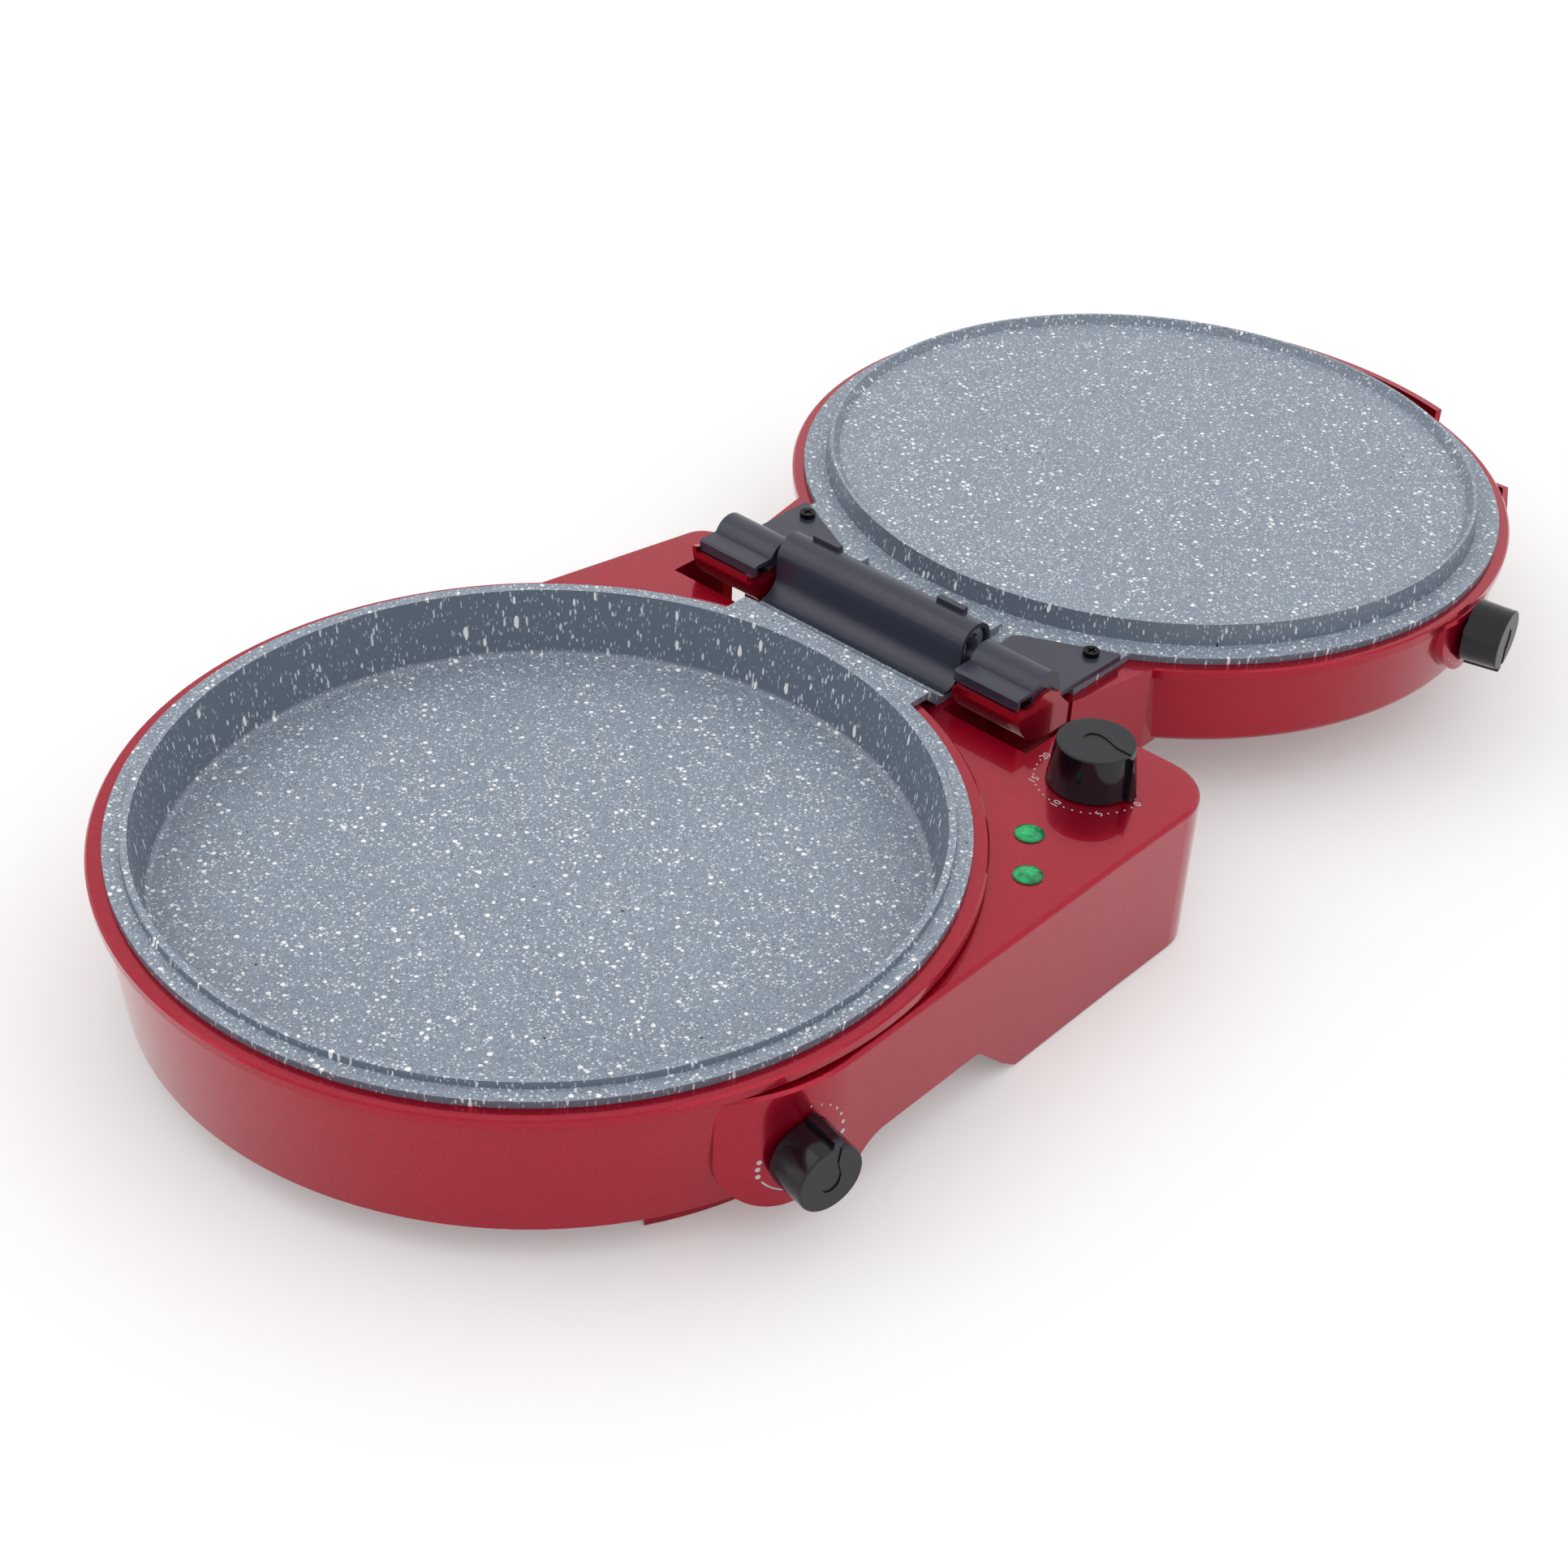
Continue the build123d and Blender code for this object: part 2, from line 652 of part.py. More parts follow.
    # bosses and pilot holes for the bottom cover's screws
    with BuildSketch(base_plane.offset(drum_foot_z)):
        with PolarLocations(cover_screw_r, 4, start_angle=45):
            Circle(boss_r)
    extrude(amount=screw_len)
    with BuildSketch(base_plane.offset(drum_foot_z - over)):
        with PolarLocations(cover_screw_r, 4, start_angle=45):
            Circle(screw_r + screw_clear)
    extrude(amount=screw_len + 2 * over, mode=Mode.SUBTRACT)
base_housing.part.label = "base_housing"
export_step(base_housing.part, "parts/base_housing.step")


# Pan-head screw with its head under z, the shank upwards
def screw(plane, z, length):
    with BuildPart() as body:
        with BuildSketch(plane.offset(z - screw_head_h)):
            Circle(screw_head_r)
        extrude(amount=screw_head_h)
        with BuildSketch(plane.offset(z)):
            Circle(screw_r)
        extrude(amount=length)
    return body.part


# Lower pan
tongue_side = [(well_floor_r, collar_z), (well_floor_r, base_flange_z), (tongue_drop_y, base_flange_z),
               (tongue_low_y, tongue_z), (pin_y + lug_r, tongue_z), (pin_y + lug_r, deck_z),
               (tongue_low_y - cast_t, deck_z), (tongue_drop_y - cast_t / 2, collar_z)]
with BuildPart() as tongue:
    with BuildSketch(side_plane(-tongue_w / 2)):
        with BuildLine():
            Polyline(*tongue_side, close=True)
        make_face()
    extrude(amount=tongue_w)
    with BuildSketch(base_plane):
        Circle(lip_r - over)
    extrude(amount=lip_z + over, mode=Mode.SUBTRACT)

with BuildPart() as lower_pan:
    with BuildSketch(base_half) as pan_half:
        with BuildLine():
            Polyline((0, well_under_z), (well_floor_r - under_bevel, well_under_z),
                     (well_floor_r + under_out, well_floor_z),
                     (well_r + cast_t - well_taper, collar_z), (flange_r, collar_z),
                     (flange_r, base_flange_z),
                     (lip_r, base_flange_z), (lip_r - lip_draft, lip_z), (well_r, lip_z),
                     (well_floor_r, well_floor_z), (0, well_floor_z), close=True)
        make_face()
        corner = pan_half.vertices().sort_by(
            lambda v: abs(v.X - well_floor_r) + abs(v.Y - well_floor_z))[0]
        fillet(corner, well_fillet)
    revolve(axis=base_axis)
    add(tongue.part)
    # hinge lugs with upright slots
    for x in (-lug_x, lug_x):
        with BuildSketch(pin_plane(x - lug_w / 2)):
            with Locations((0, pin_float)):
                Circle(lug_r)
            with BuildLine():
                Polyline((-lug_r, deck_z - pin_z), (lug_r, deck_z - pin_z), (lug_r, pin_float),
                         (-lug_r, pin_float), close=True)
            make_face()
            with Locations((0, 0), (0, pin_float)):
                Circle(slot_r, mode=Mode.SUBTRACT)
            with Locations((0, pin_float / 2)):
                Rectangle(2 * slot_r, pin_float, mode=Mode.SUBTRACT)
        extrude(amount=lug_w)
    # studs for the heat shield
    with BuildSketch(base_plane.offset(lower_shield_z + shield_t)):
        with PolarLocations(stud_pcd_r, 3, start_angle=90):
            Circle(stud_r)
    extrude(amount=well_under_z - lower_shield_z - shield_t)
    with BuildSketch(base_plane.offset(lower_shield_z)):
        with PolarLocations(stud_pcd_r, 3, start_angle=90):
            Circle(screw_r + screw_clear)
    extrude(amount=screw_len + screw_spare, mode=Mode.SUBTRACT)
lower_pan.part.label = "lower_pan"
export_step(lower_pan.part, "parts/lower_pan.step")


# Tubular heating element: an open ring with two terminals turned down
def element(plane, half, axis, z):
    ends = [(element_r, 0), polar(element_r, 360 - element_gap_angle)]
    with BuildPart() as body:
        with BuildSketch(half):
            with Locations((element_r, z)):
                Circle(tube_r)
        revolve(axis=axis, revolution_arc=360 - element_gap_angle)
        for x, y in ends:
            add(peg(moved_plane(plane, x, y).offset(z - terminal_drop), terminal_r, terminal_drop + tube_r))
    return body.part


# Shallow dish under an element, with holes for its terminals and screws
def heat_shield(plane, half, axis, z):
    rim_r = shield_r + shield_flare
    section = [(0, z), (shield_r, z), (rim_r, z + shield_rim_h), (rim_r - shield_t, z + shield_rim_h),
               (shield_r - shield_t, z + shield_t), (0, z + shield_t)]
    with BuildPart() as body:
        add(turned(half, axis, section))
        with BuildSketch(plane.offset(z - over)):
            with PolarLocations(stud_pcd_r, 3, start_angle=90):
                Circle(screw_r + screw_clear)
            with Locations((element_r, 0), polar(element_r, 360 - element_gap_angle)):
                Circle(terminal_r + terminal_hole_clear)
        extrude(amount=shield_t + 2 * over, mode=Mode.SUBTRACT)
    return body.part


with BuildPart() as lower_heating_element:
    add(element(base_plane, base_half, base_axis, well_under_z - seat_gap - tube_r))
lower_heating_element.part.label = "lower_heating_element"
export_step(lower_heating_element.part, "parts/lower_heating_element.step")

with BuildPart() as lower_heat_shield:
    add(heat_shield(base_plane, base_half, base_axis, lower_shield_z))
lower_heat_shield.part.label = "lower_heat_shield"
export_step(lower_heat_shield.part, "parts/lower_heat_shield.step")

with BuildPart() as lower_shield_screws:
    for i in range(3):
        stud = moved_plane(base_plane, *polar(stud_pcd_r, 90 + 120 * i))
        add(screw(stud, lower_shield_z, screw_len))
lower_shield_screws.part.label = "lower_shield_screws"
export_step(lower_shield_screws.part, "parts/lower_shield_screws.step")


# Thermostat body behind a boss, its bushing in the boss
def thermostat(plane):
    with BuildPart() as body:
        with BuildSketch(plane.offset(-bushing_len - thermostat_d)):
            with Locations((0, bushing_r + thermostat_up - thermostat_h / 2)):
                Rectangle(thermostat_w, thermostat_h)
        extrude(amount=thermostat_d)
        with BuildSketch(plane.offset(-bushing_len)):
            Circle(bushing_r)
        extrude(amount=bushing_len)
        with BuildSketch(plane.offset(-shaft_depth)):
            Circle(shaft_r + shaft_clear)
        extrude(amount=shaft_depth + over, mode=Mode.SUBTRACT)
    return body.part


with BuildPart() as lower_thermostat:
    add(thermostat(lower_knob_plane))
lower_thermostat.part.label = "lower_thermostat"
export_step(lower_thermostat.part, "parts/lower_thermostat.step")


# Round control knob with a drafted side, a pointer nose, a paddle shaped recess running from the
# nose into its face, and a bore for the shaft
def control_knob(plane, r_back, draft_w, length, pointer):
    draft = degrees(atan(draft_w / length))
    nose_r = r_back + nose_out
    turn = radians(pointer)
    back = Plane(origin=plane.origin + plane.z_dir * knob_seat,
                 x_dir=plane.x_dir * cos(turn) + plane.y_dir * sin(turn), z_dir=plane.z_dir)
    with BuildPart() as body:
        with BuildSketch(plane.offset(knob_seat)):
            Circle(r_back)
        extrude(amount=length, taper=draft)
        fillet(body.faces().sort_by(Axis(plane.origin, plane.z_dir))[-1].edges(), knob_edge_r)
        with BuildSketch(back):
            with Locations((nose_r / 2, 0)):
                Rectangle(nose_r, nose_w)
        extrude(amount=length - recess_depth, taper=draft)
        with BuildSketch(back.offset(length)) as paddle:
            with Locations((-recess_back, 0)):
                Circle(recess_r)
            with BuildLine():
                Polyline((-recess_back, -recess_r), (recess_back, -recess_r), (r_back / 2, -recess_neck / 2),
                         (nose_r, -recess_neck / 2), (nose_r, recess_neck / 2), (r_back / 2, recess_neck / 2),
                         (recess_back, recess_r), (-recess_back, recess_r), close=True)
            make_face()
            for x in (recess_back, r_back / 2):
                fillet(paddle.vertices().filter_by(lambda v: abs(v.X - x) < 0.1), recess_r)
        extrude(amount=-recess_depth, mode=Mode.SUBTRACT)
        with BuildSketch(plane):
            Circle(shaft_r + shaft_clear)
        extrude(amount=length - bore_cap, mode=Mode.SUBTRACT)
    return body.part


with BuildPart() as lower_thermostat_shaft:
    add(peg(lower_knob_plane.offset(-shaft_depth), shaft_r, shaft_depth + knob_len - shaft_cap))
lower_thermostat_shaft.part.label = "lower_thermostat_shaft"
export_step(lower_thermostat_shaft.part, "parts/lower_thermostat_shaft.step")

with BuildPart() as lower_thermostat_knob:
    add(control_knob(lower_knob_plane, knob_r, knob_draft_w, knob_len, lower_pointer))
lower_thermostat_knob.part.label = "lower_thermostat_knob"
export_step(lower_thermostat_knob.part, "parts/lower_thermostat_knob.step")

# Timer movement under the deck, its shaft and its knob
timer_plane = moved_plane(base_plane, *timer_xy)
with BuildPart() as timer_movement:
    with BuildSketch(timer_plane.offset(deck_z - wall - timer_h)):
        Rectangle(timer_w, timer_w)
    extrude(amount=timer_h)
    with BuildSketch(timer_plane.offset(deck_z - wall)):
        Circle(bushing_r)
    extrude(amount=wall)
    with BuildSketch(timer_plane.offset(deck_z - shaft_depth)):
        Circle(shaft_r + shaft_clear)
    extrude(amount=shaft_depth + over, mode=Mode.SUBTRACT)
timer_movement.part.label = "timer_movement"
export_step(timer_movement.part, "parts/timer_movement.step")

with BuildPart() as timer_shaft:
    add(peg(timer_plane.offset(deck_z - shaft_depth), shaft_r, shaft_depth + timer_knob_h - shaft_cap))
timer_shaft.part.label = "timer_shaft"
export_step(timer_shaft.part, "parts/timer_shaft.step")

with BuildPart() as timer_knob:
    add(control_knob(timer_plane.offset(deck_z), timer_knob_r, timer_knob_draft, timer_knob_h, 0))
timer_knob.part.label = "timer_knob"
export_step(timer_knob.part, "parts/timer_knob.step")

# Indicator lenses and the lamps under them
with BuildPart() as indicator_lenses:
    for x, y in lamp_xy:
        spot = moved_plane(base_plane, x, y)
        add(peg(spot.offset(deck_z - lens_stem), lens_stem_r, lens_stem))
        add(peg(spot.offset(deck_z), lens_r, lens_h))
    fillet(indicator_lenses.faces().filter_by(Axis.Z).group_by(Axis.Z)[-1].edges(), lens_edge_r)
indicator_lenses.part.label = "indicator_lenses"
export_step(indicator_lenses.part, "parts/indicator_lenses.step")

with BuildPart() as neon_lamps:
    for x, y in lamp_xy:
        spot = moved_plane(base_plane, x, y)
        add(peg(spot.offset(deck_z - lens_stem - neon_len), neon_r, neon_len))
neon_lamps.part.label = "neon_lamps"
export_step(neon_lamps.part, "parts/neon_lamps.step")

# Terminal block on the floor of the left wing
with BuildPart() as terminal_block:
    with BuildSketch(moved_plane(base_plane, *terminal_xy).offset(floor_top_z)):
        Rectangle(terminal_size[0], terminal_size[1])
    extrude(amount=terminal_size[2])
    with BuildSketch(moved_plane(base_plane, *terminal_xy).offset(floor_top_z + terminal_size[2])):
        with GridLocations(terminal_size[0] / 3, terminal_size[1] / 2, 3, 2):
            Circle(terminal_screw_r)
    extrude(amount=-terminal_screw_depth, mode=Mode.SUBTRACT)
terminal_block.part.label = "terminal_block"
export_step(terminal_block.part, "parts/terminal_block.step")

# Cord gland in the rear wall of the right wing
gland_plane = Plane(origin=(pan_x + gland_x, pan_y + wing_rear_y, gland_z), x_dir=(1, 0, 0), z_dir=(0, 1, 0))
with BuildPart() as cord_gland:
    with BuildSketch(gland_plane.offset(-wall - gland_tail)):
        Circle(gland_r)
    extrude(amount=wall + gland_tail + gland_len)
    with BuildSketch(gland_plane):
        Circle(gland_flange_r)
    extrude(amount=gland_flange_t)
    with BuildSketch(gland_plane.offset(-wall - gland_tail)):
        Circle(gland_bore_r)
    extrude(amount=wall + gland_tail + gland_len, mode=Mode.SUBTRACT)
cord_gland.part.label = "cord_gland"
export_step(cord_gland.part, "parts/cord_gland.step")

# Bottom cover and its screws
with BuildPart() as bottom_cover:
    with BuildSketch(base_plane.offset(cover_z)):
        Circle(bottom_cover_r)
        with PolarLocations(cover_screw_r, 4, start_angle=45):
            Circle(screw_r + screw_clear, mode=Mode.SUBTRACT)
        with PolarLocations(vent_r, 8):
            SlotOverall(vent_len, vent_w, mode=Mode.SUBTRACT)
    extrude(amount=bottom_cover_t)
bottom_cover.part.label = "bottom_cover"
export_step(bottom_cover.part, "parts/bottom_cover.step")

with BuildPart() as bottom_screws:
    for i in range(4):
        add(screw(moved_plane(base_plane, *polar(cover_screw_r, 45 + 90 * i)), cover_z, screw_len))
bottom_screws.part.label = "bottom_screws"
export_step(bottom_screws.part, "parts/bottom_screws.step")

# Rubber pads under the four feet
with BuildPart() as rubber_pads:
    for mid in (foot_mid_angle, 180 - foot_mid_angle):
        add(sector(base_plane, 0, skirt_z, foot_r_in + pad_inset, foot_r_out - pad_inset, mid,
                   foot_angle - 2 * pad_inset_angle))
    with BuildSketch(base_plane):
        with Locations(rear_foot_right, rear_foot_left):
            Circle(pad_r)
    extrude(amount=skirt_z)
rubber_pads.part.label = "rubber_pads"
export_step(rubber_pads.part, "parts/rubber_pads.step")

# Centre hinge cover over the lugs: a half round top, its front swept out to the foot
cover_inner_r = centre_cover_r - cover_t
sweep_at = (pin_y - centre_cover_r - sweep_r, tongue_z + cover_toe + sweep_r)
with BuildPart() as centre_hinge_cover:
    with BuildSketch(side_plane(-tongue_w / 2)):
        with BuildLine():
            Polyline((sweep_at[0], tongue_z), sweep_at, (pin_y - centre_cover_r, sweep_at[1]),
                     (pin_y - centre_cover_r, top_z), (pin_y + centre_cover_r, top_z),
                     (pin_y + centre_cover_r, deck_z), (pin_y, deck_z), (pin_y, tongue_z), close=True)
        make_face()
        with Locations((pin_y, top_z)):
            Circle(centre_cover_r)
        with Locations(sweep_at):
            Circle(sweep_r, mode=Mode.SUBTRACT)
    extrude(amount=tongue_w)
    with BuildSketch(side_plane(-tongue_w / 2)):
        with BuildLine():
            Polyline((sweep_at[0], deck_z), sweep_at, (pin_y - cover_inner_r, sweep_at[1]),
                     (pin_y - cover_inner_r, top_z), (pin_y + cover_inner_r, top_z),
                     (pin_y + cover_inner_r, deck_z), close=True)
        make_face()
        with Locations((pin_y, top_z)):
            Circle(cover_inner_r)
        with Locations(sweep_at):
            Circle(sweep_r + cover_t, mode=Mode.SUBTRACT)
    extrude(amount=tongue_w, mode=Mode.SUBTRACT)
    for x in (-tab_x, tab_x):
        with BuildSketch(base_plane.offset(top_z + lug_r - tab_sink)):
            with Locations((x, pin_y + tab_back)):
                Rectangle(tab_w, tab_t)
        extrude(amount=tab_h)
centre_hinge_cover.part.label = "centre_hinge_cover"
export_step(centre_hinge_cover.part, "parts/centre_hinge_cover.step")

# Hinge pin and its clips
with BuildPart() as hinge_pin:
    add(peg(pin_plane(-pin_half), pin_r, 2 * pin_half))
hinge_pin.part.label = "hinge_pin"
export_step(hinge_pin.part, "parts/hinge_pin.step")

with BuildPart() as pin_clips:
    for x in (-lid_lug_x1 - clip_gap - clip_t, lid_lug_x1 + clip_gap):
        with BuildSketch(pin_plane(x)):
            Circle(clip_r)
            Circle(pin_r, mode=Mode.SUBTRACT)
        extrude(amount=clip_t)
pin_clips.part.label = "pin_clips"
export_step(pin_clips.part, "parts/pin_clips.step")

# Upper plate
tail_end_y = plate_spacing - sqrt((flange_r - cast_t)**2 - plate_tail_x**2)
with BuildPart() as plate_tail:
    with BuildSketch(base_plane.offset(lid_seat_z)):
        with BuildLine():
            Polyline((-plate_tail_x, tail_y), (plate_tail_x, tail_y), (plate_tail_x, tail_end_y),
                     (-plate_tail_x, tail_end_y), close=True)
        make_face()
    extrude(amount=cast_t)
    with BuildSketch(lid_plane):
        Circle(ring_r_foot + 2)
    extrude(amount=2 * lid_flange_z, mode=Mode.SUBTRACT)
    with BuildSketch(base_plane.offset(lid_seat_z - over)):
        with Locations(*tail_screws):
            Circle(screw_r + screw_clear)
    extrude(amount=cast_t + 2 * over, mode=Mode.SUBTRACT)
    with BuildSketch(base_plane.offset(lid_flange_z)):
        with Locations((-rib_at[0], rib_at[1]), rib_at):
            Rectangle(rib_w, rib_len)
    extrude(amount=rib_h)

with BuildPart() as upper_plate:
    with BuildSketch(lid_half):
        with BuildLine():
            Polyline((0, disc_under_z), (disc_r - disc_under_in, disc_under_z),
                     (ring_r_foot - cast_t - ring_under_in, lid_seat_z), (flange_r, lid_seat_z),
                     (flange_r, lid_flange_z), (ring_r_foot, lid_flange_z),
                     (ring_r_top, rim_z), (ring_r_top - ring_rim_w, rim_z), (disc_r, disc_z), (0, disc_z),
                     close=True)
        make_face()
    revolve(axis=lid_axis)
    add(plate_tail.part)
    for x in (-lid_lug_x1, lid_lug_x0):
        seat = lid_flange_z - pin_z
        with BuildSketch(pin_plane(x)):
            Circle(lid_lug_r)
            with BuildLine():
                Polyline((-pin_r - lug_nose, -pin_r), (-lug_neck, seat - cast_t),
                         (plate_tail_y + lug_foot, seat - cast_t), (plate_tail_y + lug_foot, seat),
                         (lid_lug_r, seat), (lid_lug_r, 0), close=True)
            make_face()
            Circle(pin_r + shaft_clear, mode=Mode.SUBTRACT)
        extrude(amount=lid_lug_x1 - lid_lug_x0)
    with BuildSketch(lid_plane.offset(upper_shield_z + shield_t)):
        with PolarLocations(stud_pcd_r, 3, start_angle=90):
            Circle(stud_r)
    extrude(amount=disc_under_z - upper_shield_z - shield_t)
    with BuildSketch(lid_plane.offset(upper_shield_z)):
        with PolarLocations(stud_pcd_r, 3, start_angle=90):
            Circle(screw_r + screw_clear)
    extrude(amount=screw_len + screw_spare, mode=Mode.SUBTRACT)
upper_plate.part.label = "upper_plate"
export_step(upper_plate.part, "parts/upper_plate.step")

# Lid housing
drum_side = [(0, lid_foot_z), (lid_drum_r_foot, lid_foot_z), (lid_drum_r_top, lid_seat_z - lid_collar_h),
             (lid_collar_r, lid_seat_z - lid_collar_h + edge_w), (lid_collar_r, lid_seat_z - edge_w),
             (lid_collar_r - edge_w, lid_seat_z), (0, lid_seat_z)]
neck = [(-neck_x_front, pin_y + neck_front), (neck_x_front, pin_y + neck_front),
        (neck_x_rear, plate_spacing - neck_rear), (neck_x_rear, plate_spacing - neck_root),
        (-neck_x_rear, plate_spacing - neck_root), (-neck_x_rear, plate_spacing - neck_rear)]
cheek_start = polar(lid_drum_r_top, cheek_angle)
cheek_end = (cheek_start[0] - cheek_len * sin(radians(cheek_angle)),
             cheek_start[1] + cheek_len * cos(radians(cheek_angle)))
cheek = [cheek_start, cheek_end, (cheek_end[0] - cheek_in[0], cheek_end[1]),
         (cheek_start[0] - cheek_in[1], cheek_start[1])]

with BuildPart() as lid_drum:
    with BuildSketch(lid_half) as side:
        with BuildLine():
            Polyline(*drum_side, close=True)
        make_face()
        edge = side.vertices().sort_by(lambda v: abs(v.X - lid_drum_r_foot) + abs(v.Y - lid_foot_z))[0]
        fillet(edge, lid_edge_r)
    revolve(axis=lid_axis)

with BuildPart() as cheek_block:
    add(prism(lid_plane, cheek_z0, cheek_z1, cheek))
    add(prism(lid_plane, cheek_z0 + wall, cheek_z1 + over, cheek, wall), mode=Mode.SUBTRACT)

ear_top = ear_front_z - pin_z
ear_step = ear_inner_z - pin_z
seat_top = lid_seat_z - pin_z
wave = [(-ear_r - over, ear_top + ear_front_rise), (-ear_r, ear_top + ear_front_rise)]
wave += [(y, ear_top + z) for y, z in ear_wave]
wave += [(ear_wave_end, seat_top), (ear_r + over, seat_top), (ear_r + over, far), (-ear_r - over, far)]


# Slab across one ear, from x0 over a width, below an upper line
def ear_slab(x0, width, radius, floor, top_line):
    with BuildPart() as body:
        with BuildSketch(pin_plane(x0)):
            Circle(radius)
            with BuildLine():
                Polyline((0, -floor), (neck_front + ear_lap, -floor), (neck_front + ear_lap, seat_top),
                         (0, seat_top), close=True)
            make_face()
            with BuildLine():
                Polyline(*top_line, close=True)
            make_face(mode=Mode.SUBTRACT)
        extrude(amount=width)
    return body.part


# An ear's hollow is open at the top
open_top = [(-far, ear_r + over), (-far, far), (far, far), (far, ear_r + over)]


# Line above an ear: level to just inside the cover's bump, then down to the plate's seat
def flat_top(level):
    step = side_cover_r - side_cover_t - ear_gap
    return [(-far, level), (step, level), (step, seat_top), (far, seat_top), (far, far), (-far, far)]


with BuildPart() as lid_housing:
    add(lid_drum.part)
    add(prism(base_plane, lid_foot_z, lid_seat_z, neck))
    add(cheek_block.part)
    add(knob_boss(upper_knob_plane, (0, 0), upper_boss_r, -upper_boss_r,
                  upper_knob_drop - upper_boss_drop, boss_depth, 0.0, False))
    # hollow
    add(turned(lid_half, lid_axis, [
        (0, lid_foot_z + wall), (lid_drum_r_foot - wall - lid_hollow_bevel[0], lid_foot_z + wall),
        (lid_drum_r_foot - wall, lid_foot_z + wall + lid_hollow_bevel[1]),
        (lid_drum_r_top - wall, lid_seat_z - lid_collar_h),
        (lid_collar_r - wall, lid_seat_z - lid_collar_h + edge_w),
        (lid_collar_r - wall, lid_seat_z - wall), (collar_hole_r, lid_seat_z - wall),
        (collar_hole_r, lid_seat_z + over), (0, lid_seat_z + over)]), mode=Mode.SUBTRACT)
    add(prism(base_plane, lid_foot_z + wall, lid_seat_z - wall, neck, wall), mode=Mode.SUBTRACT)
    pocket_top = upper_knob_drop - upper_boss_drop - wall
    add(knob_boss(upper_knob_plane, (0, 0), upper_boss_r, -upper_boss_r, pocket_top, boss_pocket,
                  boss_wall, False), mode=Mode.SUBTRACT)
    # hinge ears as troughs round the pin
    for x0, inner, outer in ((ear_x0, ear_x0, ear_x1 - ear_wall), (-ear_x1, -ear_x0 - ear_wall, -ear_x1)):
        add(ear_slab(x0, ear_x1 - ear_x0, ear_r, ear_r, flat_top(ear_top)))
        add(ear_slab(x0 + ear_wall, ear_x1 - ear_x0 - 2 * ear_wall, ear_r - ear_wall, ear_r - ear_wall,
                     open_top), mode=Mode.SUBTRACT)
        with BuildSketch(pin_plane(inner)):
            with BuildLine():
                Polyline(*flat_top(ear_step), close=True)
            make_face()
        extrude(amount=ear_wall, mode=Mode.SUBTRACT)
        add(ear_slab(outer, ear_wall, ear_r, ear_r, wave))
        with BuildSketch(pin_plane(inner)):
            Circle(pin_r + ear_hole_clear)
        extrude(amount=ear_wall, mode=Mode.SUBTRACT)
    # bosses for the tail screws, holes for the shaft
    for x, y in tail_screws:
        spot = moved_plane(base_plane, x, y)
        add(peg(spot.offset(lid_seat_z - tail_boss_h), boss_r, tail_boss_h))
        hole = spot.offset(lid_seat_z - tail_hole_len)
        add(peg(hole, screw_r + screw_clear, tail_hole_len + over), mode=Mode.SUBTRACT)
    add(bushing_hole(upper_knob_plane), mode=Mode.SUBTRACT)
lid_housing.part.label = "lid_housing"
export_step(lid_housing.part, "parts/lid_housing.step")

# Lid handle: an arc lip on a web, its inside following the drum
with BuildPart() as lid_handle:
    add(sector(lid_plane, grip_z0, grip_z0 + grip_web, lid_drum_r_foot, grip_r, 90, 2 * grip_half_angle))
    add(sector(lid_plane, grip_z0, grip_z1, grip_r - grip_t, grip_r, 90, 2 * grip_half_angle))
    add(lid_drum.part, mode=Mode.SUBTRACT)
lid_handle.part.label = "lid_handle"
export_step(lid_handle.part, "parts/lid_handle.step")

with BuildPart() as upper_heating_element:
    add(element(lid_plane, lid_half, lid_axis, disc_under_z - seat_gap - tube_r))
upper_heating_element.part.label = "upper_heating_element"
export_step(upper_heating_element.part, "parts/upper_heating_element.step")

with BuildPart() as upper_heat_shield:
    add(heat_shield(lid_plane, lid_half, lid_axis, upper_shield_z))
upper_heat_shield.part.label = "upper_heat_shield"
export_step(upper_heat_shield.part, "parts/upper_heat_shield.step")

with BuildPart() as upper_shield_screws:
    for i in range(3):
        stud = moved_plane(lid_plane, *polar(stud_pcd_r, 90 + 120 * i))
        add(screw(stud, upper_shield_z, screw_len))
upper_shield_screws.part.label = "upper_shield_screws"
export_step(upper_shield_screws.part, "parts/upper_shield_screws.step")

with BuildPart() as upper_thermostat:
    add(thermostat(upper_knob_plane))
upper_thermostat.part.label = "upper_thermostat"
export_step(upper_thermostat.part, "parts/upper_thermostat.step")

with BuildPart() as upper_thermostat_shaft:
    add(peg(upper_knob_plane.offset(-shaft_depth), shaft_r, shaft_depth + knob_len - shaft_cap))
upper_thermostat_shaft.part.label = "upper_thermostat_shaft"
export_step(upper_thermostat_shaft.part, "parts/upper_thermostat_shaft.step")

with BuildPart() as upper_thermostat_knob:
    add(control_knob(upper_knob_plane, knob_r, knob_draft_w, knob_len, upper_pointer))
upper_thermostat_knob.part.label = "upper_thermostat_knob"
export_step(upper_thermostat_knob.part, "parts/upper_thermostat_knob.step")


